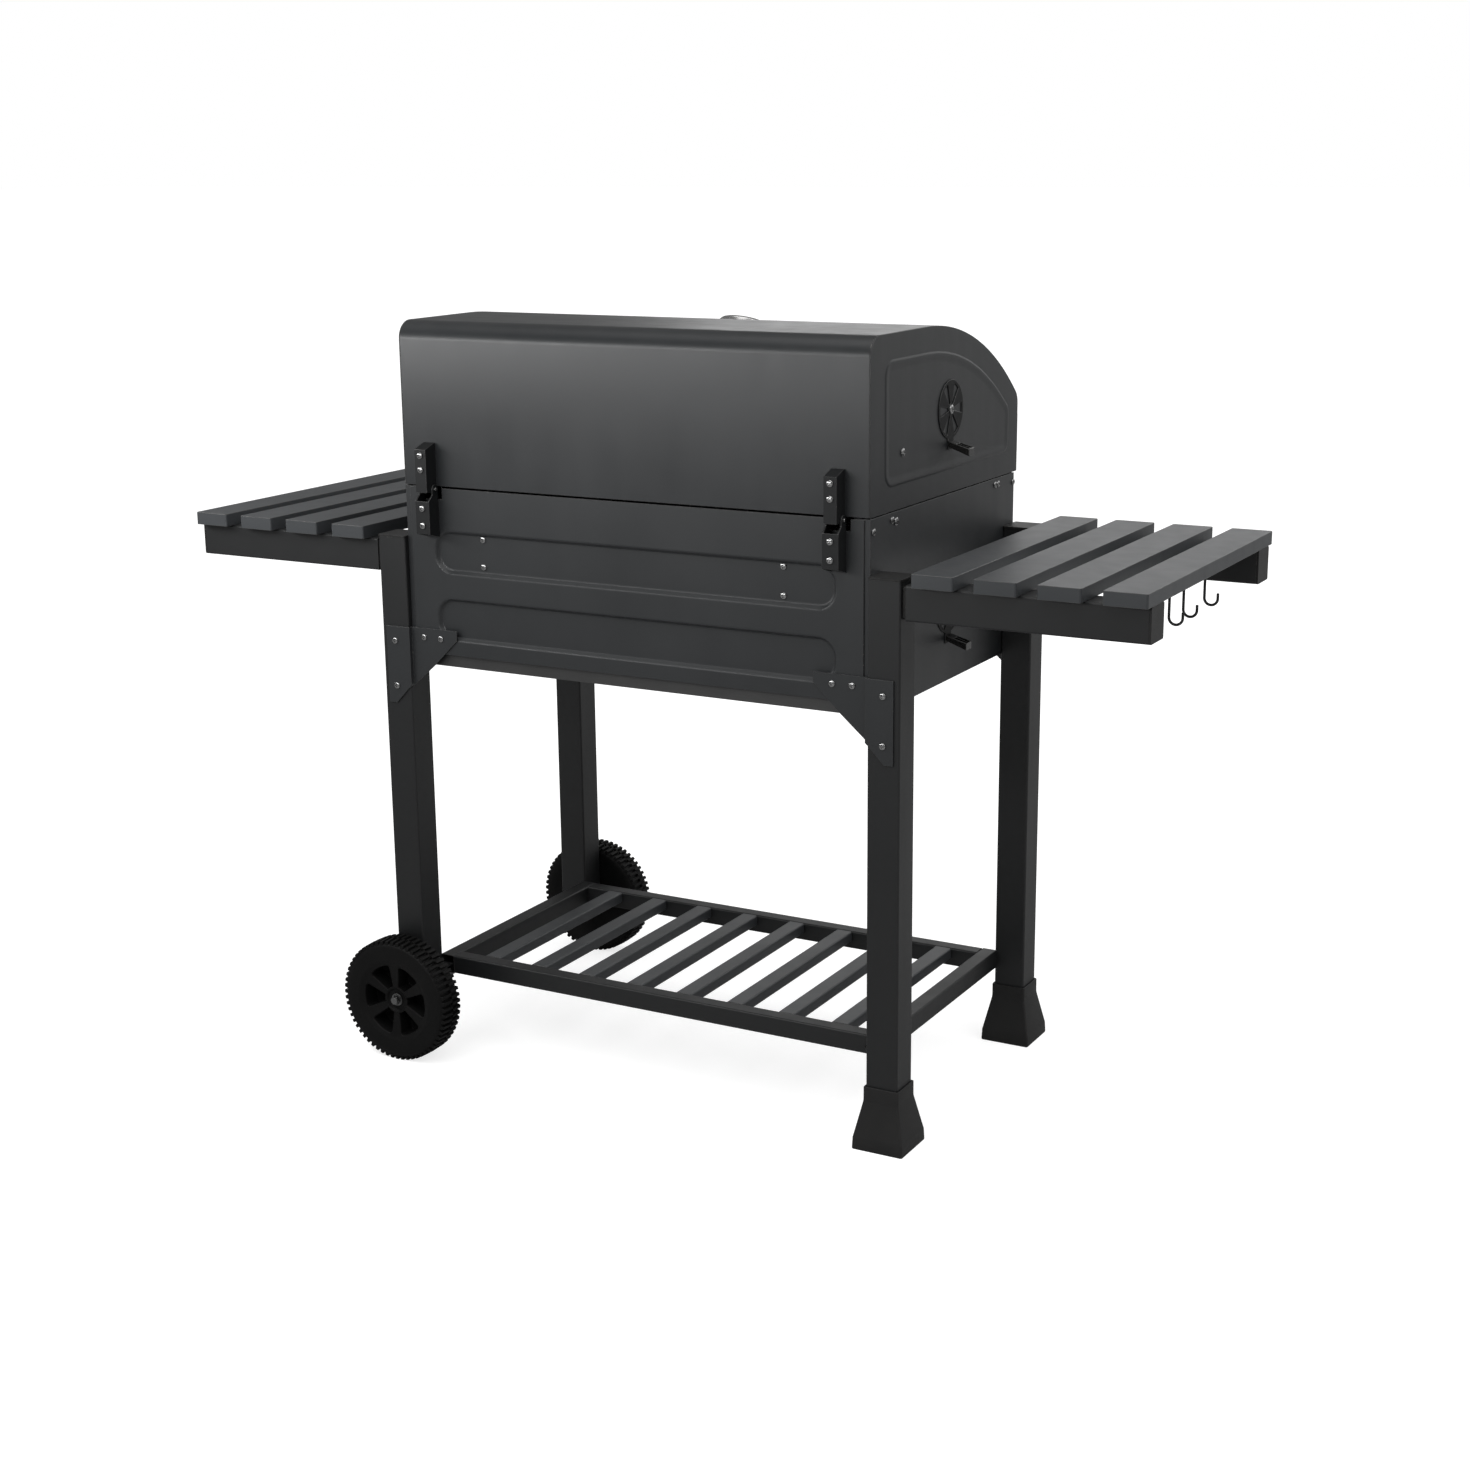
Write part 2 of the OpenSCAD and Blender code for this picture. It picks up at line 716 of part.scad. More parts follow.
module axle_nuts() {
  color("#a5a6aa") for (sy = [0, 1]) mirror([0, sy, 0]) translate([axle_x, 0, wheel_r]) rotate([-90, 0, 0]) {
    translate([0, 0, leg_out_y]) difference() {
      cylinder(r = washer_r, h = spacer_t);
      translate([0, 0, -1]) cylinder(r = axle_r, h = spacer_t + 2);
    }
    translate([0, 0, wheel_out - hub_recess + 0.3]) difference() {
      union() {
        cylinder(r = nut_washer_r, h = washer_t);
        translate([0, 0, washer_t - eps]) cylinder(r = nut_r, h = nut_t, $fn = 6);
      }
      translate([0, 0, -1]) cylinder(r = axle_r, h = washer_t + nut_t + 2);
    }
  }
}

// Moulded wheel: hub, tyre and a web with deep windows that a back wall closes
module wheel(sy) {
  w = wheel_w;
  rim_r = 0.76 * wheel_r;
  web_r = 0.66 * wheel_r;
  color("#1c1c1f") translate([axle_x, 0, wheel_r]) mirror([0, sy < 0 ? 1 : 0, 0]) rotate([-90, 0, 0])
    translate([0, 0, wheel_in]) difference() {
      rotate_extrude() polygon([[axle_r + axle_fit, 0], [hub_r, 0], [hub_r, wheel_dish],
        [web_r, wheel_dish], [rim_r, 3], [wheel_r - 6, 0], [wheel_r, 6], [wheel_r, w - 6],
        [wheel_r - 6, w], [rim_r, w - 3], [web_r, w / 2 + 4], [hub_r + 4, w / 2 + 4],
        [hub_r, w - hub_recess], [axle_r + axle_fit, w - hub_recess]]);
      for (i = [0 : wheel_windows - 1]) rotate(i * 360 / wheel_windows)
        translate([0, 0, wheel_dish + wheel_wall]) linear_extrude(w) intersection() {
          difference() {
            circle(r = web_r - window_rim);
            circle(r = hub_r + window_hub);
          }
          polygon([[0, 0], [2 * wheel_r, -2 * wheel_r * tan(wheel_window_half)],
            [2 * wheel_r, 2 * wheel_r * tan(wheel_window_half)]]);
        }
    }
}

// ---------- lid hinge ----------

module at_hinges(x0, x1) {
  for (sx = [-1, 1]) translate([sx * hinge_x, 0, 0]) along_x(x0, x1) children();
}

module lower_cheek() {
  polygon([[half_d, lower_web_bottom - 7], [web_y, lower_web_bottom], [web_y, lower_web_top],
    [pin_y + 7, pin_z - 8], [pin_y + 7.5, pin_z], [pin_y - 7, pin_z],
    [half_d + 0.3, pin_z - 10], [half_d + 0.3, lower_web_top], [half_d, lower_web_top]]);
  translate([pin_y, pin_z]) circle(r = 7.2);
}

module hinge_brackets_lower() {
  cheek = web_w / 2 + hinge_gap;
  color("#1e1e21") difference() {
    union() {
      for (s = [-1, 1]) at_hinges(s > 0 ? cheek : -cheek - hinge_t, s > 0 ? cheek + hinge_t : -cheek)
        lower_cheek();
      at_hinges(-cheek - eps, cheek + eps)
        rect(web_y - hinge_t, lower_web_bottom, web_y, lower_web_top);
    }
    at_hinges(-web_w, web_w) translate([pin_y, pin_z]) circle(r = pin_r);
    drill(hinge_low_screws);
  }
}

module upper_cheek() {
  polygon([[pin_y - 6.4, pin_z], [lid_rear, pin_z + 5], [lid_rear, upper_web_top + 8],
    [lid_rear + 3, upper_web_top + 8], [web_y, upper_web_top], [web_y, upper_web_bottom],
    [pin_y, upper_web_bottom]]);
  translate([pin_y, pin_z]) circle(r = 6.5);
}

module hinge_brackets_upper() {
  out = web_w / 2;
  cap_top = upper_web_top + 8;
  color("#1e1e21") difference() {
    union() {
      for (s = [-1, 1]) at_hinges(s > 0 ? out - hinge_t : -out, s > 0 ? out : -out + hinge_t)
        upper_cheek();
      at_hinges(-out + hinge_t - eps, out - hinge_t + eps) {
        rect(web_y - hinge_t, upper_web_bottom, web_y, upper_web_top);
        polygon([[web_y, upper_web_top], [lid_rear + 3, cap_top], [lid_rear, cap_top],
          [lid_rear, cap_top - hinge_t], [lid_rear + 3, cap_top - hinge_t],
          [web_y - hinge_t, upper_web_top - hinge_t], [web_y, upper_web_top - hinge_t]]);
      }
    }
    at_hinges(-web_w, web_w) translate([pin_y, pin_z]) circle(r = pin_r + pivot_fit);
    drill(hinge_up_screws);
  }
}

module hinge_pins() {
  l = web_w / 2 + hinge_gap + hinge_t + 2;
  color("#8b8c90") at_hinges(-l, l) translate([pin_y, pin_z]) circle(r = pin_r);
}

// ---------- lid ----------

// The lid seen from the end, drawn in Y and Z, moved inwards by d
module lid_outline(d) {
  far = 2 * front_bend;
  difference() {
    union() {
      intersection() {
        rect(lid_front + d, lid_bottom, roof_y, roof_z - d);
        translate([roof_y, roof_z - roof_r]) circle(r = roof_r - d, $fn = 360);
      }
      rect(roof_y - eps, lid_bottom, lid_rear - d, roof_z - d);
    }
    translate([lid_rear - rear_bend, roof_z - rear_bend]) square(rear_bend + 1);
    polygon([[front_bend_y, front_bend_z],
      [front_bend_y + far * cos(bend_dir), front_bend_z + far * sin(bend_dir)],
      [front_bend_y - 2 * far, front_bend_z + far * sin(bend_dir)],
      [front_bend_y - 2 * far, front_bend_z]]);
  }
  translate([lid_rear - rear_bend, roof_z - rear_bend]) circle(r = rear_bend - d);
  translate([front_bend_y, front_bend_z]) circle(r = front_bend - d);
}

module at_gauge() {
  translate([0, roof_y - roof_r * sin(gauge_slope), roof_z - roof_r + roof_r * cos(gauge_slope)])
    rotate([gauge_slope, 0, 0]) children();
}

// Wrapped roof, front and rear wall, with a raised plate round the gauge
module lid_shell() {
  reach = 2 * roof_r;
  color("#303135") difference() {
    union() {
      along_x(-inner_w, inner_w) difference() {
        lid_outline(0);
        lid_outline(sheet);
        rect(lid_front + sheet, lid_bottom - 1, lid_rear - sheet, lid_bottom + 1);
      }
      along_x(-plate_w / 2, plate_w / 2) intersection() {
        difference() {
          translate([roof_y, roof_z - roof_r]) circle(r = roof_r + plate_t, $fn = 360);
          translate([roof_y, roof_z - roof_r]) circle(r = roof_r - sheet / 2, $fn = 360);
        }
        translate([roof_y, roof_z - roof_r]) polygon([[0, 0],
          [-reach * sin(gauge_slope - plate_span), reach * cos(gauge_slope - plate_span)],
          [-reach * sin(gauge_slope + plate_span), reach * cos(gauge_slope + plate_span)]]);
      }
    }
    at_gauge() cylinder(r = 5, h = 40, center = true);
    drill(hinge_up_screws);
    drill(standoff_screws);
  }
}

module lid_end(side) {
  color("#2b2c30") on_side(side) difference() {
    along_x(inner_w, half_w) lid_outline(0);
    along_x(inner_w - 1, half_w + 2) {
      vent_cut(split_h + lid_damper_up);
      translate(rack_a) circle(r = pivot_r);
    }
  }
}

module lid_handle() {
  y1 = lid_front - handle_gap;
  z = split_h + handle_up;
  color("#9a9ba0") along_x(-handle_l / 2, handle_l / 2) difference() {
    translate([y1 - handle_t / 2, z]) rounded(handle_t, handle_h, 3);
    rect(y1 - handle_t + 1.5, z - handle_h / 2 + 1.5, y1 - 1.5, z + handle_h / 2 - 1.5);
  }
}

module handle_standoffs() {
  color("#1b1b1d") difference() {
    for (sx = [-1, 1]) translate([sx * standoff_x, lid_front, split_h + handle_up]) rotate([90, 0, 0])
      cylinder(r = standoff_r, h = handle_gap);
    drill(standoff_screws);
  }
}

module gauge_bezel() {
  color("#b0b1b5") at_gauge() rotate_extrude() polygon([[gauge_r - 4, plate_t + 1],
    [gauge_r, plate_t + 1], [gauge_r, gauge_h - 3], [gauge_r - 3, gauge_h],
    [gauge_r - 5, gauge_h], [gauge_r - 5, gauge_h - 3], [gauge_r - 4, gauge_h - 4]]);
}

module gauge_dial() {
  color("#e8e8e6") at_gauge() translate([0, 0, plate_t + 1]) difference() {
    cylinder(r = gauge_r - 4, h = gauge_h - plate_t - 6);
    translate([0, 0, -1]) cylinder(r = 5, h = 3);
  }
}

module gauge_stem() {
  color("#a5a6aa") at_gauge() {
    translate([0, 0, -45]) cylinder(r = 3, h = 40);
    translate([0, 0, -5 - eps]) cylinder(r = 5, h = 5 + plate_t + 3);
    translate([0, 0, -sheet - 5]) cylinder(r = 9, h = 4.5, $fn = 6);
  }
}

// A rivet that a damper disc turns on
module rivet(z) {
  for (sx = [-1, 1]) on_side(sx) translate([inner_w - 2, -damper_fwd, z]) rotate([0, 90, 0]) {
    cylinder(r = rivet_r + 2.5, h = 2);
    cylinder(r = rivet_r, h = sheet + 2 + damper_gap * 2 + damper_t);
    translate([0, 0, sheet + 2 + damper_gap * 2 + damper_t - eps]) cylinder(r = rivet_r + 4, h = 2);
  }
}

// A pin with its head outside the panel, that a rack plate or a link turns on
module pivot_pins(at, x_in) {
  for (sx = [-1, 1]) on_side(sx) {
    rod_x(at[0], at[1], pivot_r, x_in, half_w + eps);
    rod_x(at[0], at[1], head_r + 1, half_w, half_w + head_h);
  }
}

module lid_screws() {
  color("#a5a6aa") {
    for (s = hinge_up_screws) screw(s);
    for (s = standoff_screws) screw(s);
    rivet(split_h + lid_damper_up);
    pivot_pins(rack_a, rack_plate_x - 3);
  }
}

module cart_screws() {
  color("#a5a6aa") {
    for (s = concat(gusset_screws, guide_screws, end_screws, hinge_low_screws, shelf_bolts)) screw(s);
    rivet(split_h - box_damper_drop);
    pivot_pins(link_g, link_x - 2);
  }
}

module damper(side, z) {
  x0 = half_w + damper_gap;
  color("#26272b") on_side(side) along_x(x0, x0 + damper_t) translate([-damper_fwd, z]) difference() {
    union() {
      circle(r = damper_r);
      translate([-tab_w / 2, -tab_out]) square([tab_w, tab_out]);
    }
    windows(0);
    circle(r = rivet_r + pivot_fit);
  }
}

module damper_knob(side, z) {
  x0 = half_w + damper_gap + damper_t;
  color("#141416") on_side(side) translate([x0, tab_w / 2 - damper_fwd, z - tab_out])
    rotate([90, 0, 0]) linear_extrude(tab_w) offset(r = knob_round) offset(delta = -knob_round)
      polygon([[0, knob_h - knob_root_h], [knob_l, knob_h - knob_drop - knob_end_h],
        [knob_l, knob_h - knob_drop], [0, knob_h]]);
}

// ---------- inside ----------

module charcoal_tray(side) {
  color("#3a3a3c") on_side(side) difference() {
    block(tray_side_gap, -tray_half_d, tray_z, tray_side_gap + tray_w, tray_half_d, tray_z + tray_h);
    block(tray_side_gap + sheet, -tray_half_d + sheet, tray_z + sheet,
      tray_side_gap + tray_w - sheet, tray_half_d - sheet, tray_z + tray_h + 1);
    for (i = [-4 : 4], sy = [-1, 1])
      translate([tray_x + i * tray_w / 10, sy * tray_half_d / 2, tray_z])
        cube([8, tray_half_d * 0.7, 3 * sheet], center = true);
  }
}

module tray_handle(side) {
  color("#8b8c90") on_side(side) union() {
    block(tray_x - shaft_w / 2, grip_y, shaft_z, tray_x + shaft_w / 2, -tray_half_d, shaft_z + shaft_h);
    rod_x(grip_y, shaft_z + shaft_h / 2, grip_r, tray_x - grip_l / 2, tray_x + grip_l / 2);
  }
}

// Rack that stays level while the lid opens
module warming_rack() {
  x1 = rack_plate_x + rack_plate_t;
  step = (rack_d - 20) / (rack_bars - 1);
  color("#8b8c90") difference() {
    union() {
      for (sx = [-1, 1]) on_side(sx) {
        along_x(rack_plate_x, x1) translate([rack_front + rack_d / 2, rack_a[1] - 4])
          rounded(rack_d, 38, 8);
        rod_x(rack_b[0], rack_b[1], pivot_r, x1 - eps, link_x + link_t + 2);
      }
      for (i = [0 : rack_bars - 1])
        rod_x(rack_front + 10 + i * step, rack_a[1] + 9, rack_bar_r, -rack_plate_x - eps, rack_plate_x + eps);
    }
    rod_x(rack_a[0], rack_a[1], pivot_r + pivot_fit, -half_w, half_w);
  }
}

module rack_links() {
  l = norm(link_v);
  color("#8b8c90") for (sx = [-1, 1]) on_side(sx) along_x(link_x, link_x + link_t)
    translate(link_g) rotate(atan2(link_v[1], link_v[0])) difference() {
      union() {
        translate([0, -7]) square([l, 14]);
        circle(r = 9);
        translate([l, 0]) circle(r = 9);
      }
      circle(r = pivot_r + pivot_fit);
      translate([l, 0]) circle(r = pivot_r + open_pivot_fit);
    }
}

leg(-1, 1);  // leg_rear_left
leg(1, 1);  // leg_rear_right
leg(-1, -1);  // leg_front_left
leg(1, -1);  // leg_front_right
tube_caps();
foot(1);  // foot_rear
foot(-1);  // foot_front
gussets();
firebox_rear();
firebox_front();
firebox_end(-1);  // firebox_left_end
firebox_end(1);  // firebox_right_end
firebox_floor();
grate_ledges();
tray_guides();
cooking_grate(0);  // cooking_grate_left
cooking_grate(1);  // cooking_grate_middle
cooking_grate(2);  // cooking_grate_right
table_beams(-1);  // table_beams_left
table_beams(1);  // table_beams_right
table_slat_set(-1);  // table_slats_left
table_slat_set(1);  // table_slats_right
beam_brackets();
tool_hooks();
shelf_end_rails();
shelf_long_rails();
shelf_slat_set();
shelf_brackets();
wheel_axle();
axle_nuts();
hinge_brackets_lower();
hinge_pins();
cart_screws();
lift_slot_plates();
wheel(1);  // wheel_rear
wheel(-1);  // wheel_front
lid_shell();
lid_end(-1);  // lid_left_end
lid_end(1);  // lid_right_end
hinge_brackets_upper();
lid_handle();
handle_standoffs();
gauge_bezel();
gauge_dial();
gauge_stem();
lid_screws();
damper(-1, split_h + lid_damper_up);  // damper_lid_left
damper(1, split_h + lid_damper_up);  // damper_lid_right
damper(-1, split_h - box_damper_drop);  // damper_box_left
damper(1, split_h - box_damper_drop);  // damper_box_right
damper_knob(-1, split_h + lid_damper_up);  // knob_lid_left
damper_knob(1, split_h + lid_damper_up);  // knob_lid_right
damper_knob(-1, split_h - box_damper_drop);  // knob_box_left
damper_knob(1, split_h - box_damper_drop);  // knob_box_right
charcoal_tray(-1);  // charcoal_tray_left
charcoal_tray(1);  // charcoal_tray_right
tray_handle(-1);  // tray_handle_left
tray_handle(1);  // tray_handle_right
warming_rack();
rack_links();
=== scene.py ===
# %% [markdown]
# # Charcoal grill on a wheeled cart
# The grill is sheet steel, square tube and a few moulded plastic pieces, nearly all of it black.
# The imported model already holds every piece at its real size, so it is loaded first as a fixed frame.
# What follows gives each piece its finish, and rebuilds the ones whose shape is too plain.

import math

import bmesh
import bpy
from mathutils import Matrix, Vector


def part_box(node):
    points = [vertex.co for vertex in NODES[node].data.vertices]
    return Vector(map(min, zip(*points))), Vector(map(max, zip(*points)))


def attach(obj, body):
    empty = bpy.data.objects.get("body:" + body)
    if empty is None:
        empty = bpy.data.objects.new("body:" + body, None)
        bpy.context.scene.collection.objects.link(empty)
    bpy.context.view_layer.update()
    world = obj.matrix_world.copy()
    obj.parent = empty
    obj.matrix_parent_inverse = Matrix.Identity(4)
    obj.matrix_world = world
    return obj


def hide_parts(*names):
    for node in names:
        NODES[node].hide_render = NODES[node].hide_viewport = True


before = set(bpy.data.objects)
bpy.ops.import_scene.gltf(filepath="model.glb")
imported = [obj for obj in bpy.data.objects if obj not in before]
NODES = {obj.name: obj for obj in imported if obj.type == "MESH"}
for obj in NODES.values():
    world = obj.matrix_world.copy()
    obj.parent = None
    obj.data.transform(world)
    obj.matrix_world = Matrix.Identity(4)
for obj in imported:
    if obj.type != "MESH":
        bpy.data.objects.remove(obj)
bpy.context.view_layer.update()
MM = 0.001

# %% [markdown]
# ## Camera
# A picture of a product like this is taken from a few metres away, with a lens a little longer
# than normal, so that the upright legs stay nearly parallel. A camera in Blender looks down its own
# -Z axis. It is first tilted up from looking straight down, then turned about the vertical, and a
# small roll about its own axis is multiplied on last.

# %% Camera
CAMERA_PLACE = Vector((-1.7567, 3.0833, 1.4265))
CAMERA_TURN = math.radians(180 + 29.18)
CAMERA_DIP = math.radians(14.43)
CAMERA_ROLL = math.radians(-0.62)

camera_data = bpy.data.cameras.new("camera")
camera_data.sensor_width = 36
camera_data.lens = 56.7
camera = bpy.data.objects.new("camera", camera_data)
bpy.context.scene.collection.objects.link(camera)
camera.matrix_world = (
    Matrix.Translation(CAMERA_PLACE)
    @ Matrix.Rotation(CAMERA_TURN, 4, "Z")
    @ Matrix.Rotation(math.pi / 2 - CAMERA_DIP, 4, "X")
    @ Matrix.Rotation(CAMERA_ROLL, 4, "Z")
)
bpy.context.scene.camera = camera
print("camera is", round(CAMERA_PLACE.length, 2), "m from the grill's foot")

# %% [markdown]
# ## Nodes from expressions
# A material in Blender is a graph of nodes. Typing one node at a time hides the idea behind it, so two
# small classes are used. `Value` wraps a socket, and maths on it adds Math nodes: `1 - mask` is then
# a node. `Finish` holds one material and makes any other node from its type, settings and inputs.

# %% Classes for materials
class Value:
    """An output socket of a finish. Maths on it adds Math nodes."""

    def __init__(self, finish, socket):
        self.finish = finish
        self.socket = socket

    def math(self, operation, first, second):
        return self.finish.node("ShaderNodeMath", {"operation": operation}, {0: first, 1: second})

    def __add__(self, other):
        return self.math("ADD", self, other)

    def __radd__(self, other):
        return self.math("ADD", other, self)

    def __sub__(self, other):
        return self.math("SUBTRACT", self, other)

    def __rsub__(self, other):
        return self.math("SUBTRACT", other, self)

    def __mul__(self, other):
        return self.math("MULTIPLY", self, other)

    def __rmul__(self, other):
        return self.math("MULTIPLY", other, self)

    def above(self, limit, softness):
        """0 below the limit, 1 above it, with a soft step between them."""
        low, high = limit - softness, limit + softness
        inputs = {0: self, 1: low, 2: high, 3: 0.0, 4: 1.0}
        return self.finish.node("ShaderNodeMapRange", {"clamp": True}, inputs)


class Finish:
    """One material, built up node by node around its Principled shader."""

    def __init__(self, name):
        self.material = bpy.data.materials.new(name)
        self.material.use_nodes = True
        self.tree = self.material.node_tree
        self.shader = self.tree.nodes["Principled BSDF"]
        self.place = self.node("ShaderNodeTexCoord", {}, {}, "Object")

    def feed(self, socket, value):
        if isinstance(value, Value):
            self.tree.links.new(value.socket, socket)
        else:
            socket.default_value = value

    def node(self, kind, settings, inputs, output=0):
        made = self.tree.nodes.new(kind)
        for name, value in settings.items():
            setattr(made, name, value)
        for name, value in inputs.items():
            self.feed(made.inputs[name], value)
        return Value(self, made.outputs[output])

    def surface(self, **values):
        for name, value in values.items():
            self.feed(self.shader.inputs[name.replace("_", " ")], value)

    def noise(self, scale, detail=2.0, stretch=(1, 1, 1)):
        """Cloudy values about 0.5, with features of about 1 / scale metres, drawn out by stretch."""
        place = self.node("ShaderNodeMapping", {}, {"Vector": self.place, "Scale": stretch})
        return self.node("ShaderNodeTexNoise", {}, {"Vector": place, "Scale": scale, "Detail": detail})

    def mix(self, factor, first, second):
        """A colour between two colours."""
        inputs = {0: factor, 6: first, 7: second}
        return self.node("ShaderNodeMix", {"data_type": "RGBA"}, inputs, 2)

    def bump(self, height, strength, distance):
        inputs = {"Height": height, "Strength": strength, "Distance": distance}
        self.surface(Normal=self.node("ShaderNodeBump", {}, inputs))


def grey(level, warmth=0.0):
    """A near-black or grey colour. Warmth above 0 leans to brown, and below 0 to blue."""
    return (level * (1 + warmth), level, level * (1 - warmth), 1)


print("classes ready:", Value.__name__, Finish.__name__)

# %% [markdown]
# ## Powder-coated steel
# The sheet and tube are sprayed with black polyester powder and baked. The powder melts into a tough,
# half-matt skin with a fine orange-peel texture. It could be one flat grey, but the eye reads that
# as plastic. Here wide, faint clouds change the colour and the gloss, a fine noise gives the
# orange peel as bump, and surfaces that face up hold a trace of dust.

# %% Powder coat
DARKER, LIGHTER, DUSTY_GAIN = 0.88, 1.14, 2.6
COLD_DARK, COLD_LIGHT = -0.09, -0.08
PEEL_SIZE, PEEL_DEPTH = 700, 0.25 * MM


def powder_coat(name, level, roughness, dust=0.25, shine=0.42):
    finish = Finish(name)
    clouds = finish.noise(5, 3)
    streaks = finish.noise(30, 2, (1, 1, 0.15))
    peel = finish.noise(PEEL_SIZE, 1)
    normal = finish.node("ShaderNodeNewGeometry", {}, {}, "Normal")
    upward = finish.node("ShaderNodeSeparateXYZ", {}, {0: normal}, "Z")
    dark, light = grey(level * DARKER, COLD_DARK), grey(level * LIGHTER, COLD_LIGHT)
    paint = finish.mix(clouds.above(0.5, 0.25), dark, light)
    dusty = upward.above(0.75, 0.3) * finish.noise(60, 4).above(0.5, 0.3) * dust
    finish.surface(Base_Color=finish.mix(dusty, paint, grey(level * DUSTY_GAIN, 0.02)))
    finish.surface(Roughness=roughness + 0.10 * (streaks - 0.5) + 0.10 * (clouds - 0.5) + 0.1 * dusty)
    finish.surface(Specular_IOR_Level=shine)
    finish.bump(peel, 0.18, PEEL_DEPTH)
    return finish.material


PAINTS = {
    "black_paint": (0.005, 0.50),
    "box_paint": (0.015, 0.45),
    "lid_paint": (0.016, 0.36),
    "slat_paint": (0.034, 0.48),
}
finishes = {slot: powder_coat(slot, *look) for slot, look in PAINTS.items()}
# Painted shade: the lid ends take a darker copy of the lid paint, so that they read darker than the lid's
# brightly lit rear wall.
lid_end_shaded_paint = powder_coat("lid_end_shaded_paint", 0.014, 0.50)
# Painted shade: the hinge brackets take a darker, less shiny copy of the paint, for the deep shade in
# their open sides.
hinge_shaded_paint = powder_coat("hinge_shaded_paint", 0.006, 0.55, 0.1, 0.25)
damper_paint = powder_coat("damper_paint", 0.003, 0.45, 0.05, 0.10)
print("paints:", ", ".join(finishes))

# %% [markdown]
# ## Worn edges and painted edge highlights
# Powder draws back from a sharp edge as it melts, so the coat is thinnest there, and that is where
# it wears shiny and is nicked first. A bevel modifier can give the faces that it makes a material of
# their own, so the edge paint goes exactly on the edges and needs no hand painting. Its lighter
# patches are partly that wear and partly a painted highlight, for the thin line of light along a folded
# edge.

# %% Worn paint and painted highlights for edges
RUBBED_AND_HIGHLIGHT_GAIN = 1.6
BARE_STEEL = 0.12


def worn_paint(name, level, roughness):
    finish = Finish(name)
    nicks = finish.noise(160, 3).above(0.66, 0.03)
    rubbed_and_highlight = finish.noise(24, 2).above(0.5, 0.2)
    # The lighter patches are partly edge wear and partly a painted highlight along the edges.
    paint = finish.mix(rubbed_and_highlight, grey(level), grey(level * RUBBED_AND_HIGHLIGHT_GAIN))
    finish.surface(Base_Color=finish.mix(nicks, paint, grey(BARE_STEEL, 0.04)))
    finish.surface(Metallic=nicks * 0.7, Roughness=roughness - 0.08 * rubbed_and_highlight)
    finish.surface(Specular_IOR_Level=0.5)
    return finish.material


edges = {slot: worn_paint(slot + "_edge", *look) for slot, look in PAINTS.items()}
print("edge paints:", ", ".join(edges))

# %% [markdown]
# ## Moulded plastic
# Wheels and feet are black polypropylene with a spark-eroded grain. The damper knobs are harder, glossy
# phenolic plastic that stands heat. Both are one colour all through, so only grain and gloss differ.

# %% Plastics
def plastic(name, level, roughness, grain, depth, shine=0.4):
    finish = Finish(name)
    scuffs = finish.noise(18, 4)
    fine = finish.noise(grain, 2)
    finish.surface(Base_Color=finish.mix(scuffs.above(0.55, 0.2), grey(level), grey(level * 1.7, 0.03)))
    finish.surface(Roughness=roughness + 0.14 * (scuffs - 0.5))
    finish.surface(Specular_IOR_Level=shine)
    finish.bump(fine, 0.3, depth)
    return finish.material


finishes["black_plastic"] = plastic("black_plastic", 0.006, 0.55, 900, 0.0004, 0.32)
tyre_plastic = plastic("tyre_plastic", 0.0028, 0.6, 700, 0.0004, 0.12)
finishes["knob_plastic"] = plastic("knob_plastic", 0.008, 0.22, 300, 0.00005)
print("plastics ready")

# %% [markdown]
# ## Bare metals
# The screws are zinc plated, the handle is brushed stainless steel and the warming rack is chromed wire.
# Metal has no colour of its own under its reflections, so each has Metallic 1 and differs in how its
# gloss is broken up: brushing is a noise drawn out very long in one direction.

# %% Metals
def metal(name, level, roughness, scratches, stretch, warmth=0.0, depth=0.00002):
    finish = Finish(name)
    marks = finish.noise(scratches, 3, stretch)
    patches = finish.noise(12, 2)
    colour = finish.mix(patches.above(0.5, 0.3), grey(level, warmth), grey(level * 0.82, warmth))
    finish.surface(Base_Color=colour, Metallic=1.0)
    finish.surface(Roughness=roughness + 0.18 * (marks - 0.5) + 0.1 * (patches - 0.5))
    finish.bump(marks, 0.25, depth)
    return finish.material


EVEN = (1, 1, 1)
finishes["bright_steel"] = metal("bright_steel", 0.62, 0.24, 400, EVEN, 0.01)
screw_steel = metal("screw_steel", 0.30, 0.16, 300, EVEN, 0.0)
nut_steel = metal("nut_steel", 0.16, 0.28, 300, EVEN, 0.0)
finishes["brushed_steel"] = metal("brushed_steel", 0.60, 0.30, 900, (0.02, 1, 1), 0.01)
finishes["chrome_wire"] = metal("chrome_wire", 0.70, 0.14, 200, EVEN)
finishes["tray_steel"] = metal("tray_steel", 0.09, 0.50, 120, EVEN, 0.0, 0.0001)
print("metals ready")

# %% [markdown]
# ## Enamelled grates
# Cast and welded grates are dipped in black vitreous enamel, which flows into a glassy skin with
# small sags. A coat layer over a dark base gives the glass, and a soft noise gives the sags.

# %% Enamel
def enamel(name):
    finish = Finish(name)
    sags = finish.noise(90, 2)
    soot = finish.noise(14, 4).above(0.55, 0.2)
    finish.surface(Base_Color=finish.mix(soot, grey(0.012), grey(0.03, 0.06)))
    finish.surface(Roughness=0.35 + 0.25 * soot, Coat_Weight=0.6 - 0.5 * soot)
    finish.surface(Coat_Roughness=0.12)
    finish.bump(sags, 0.35, 0.0006)
    return finish.material


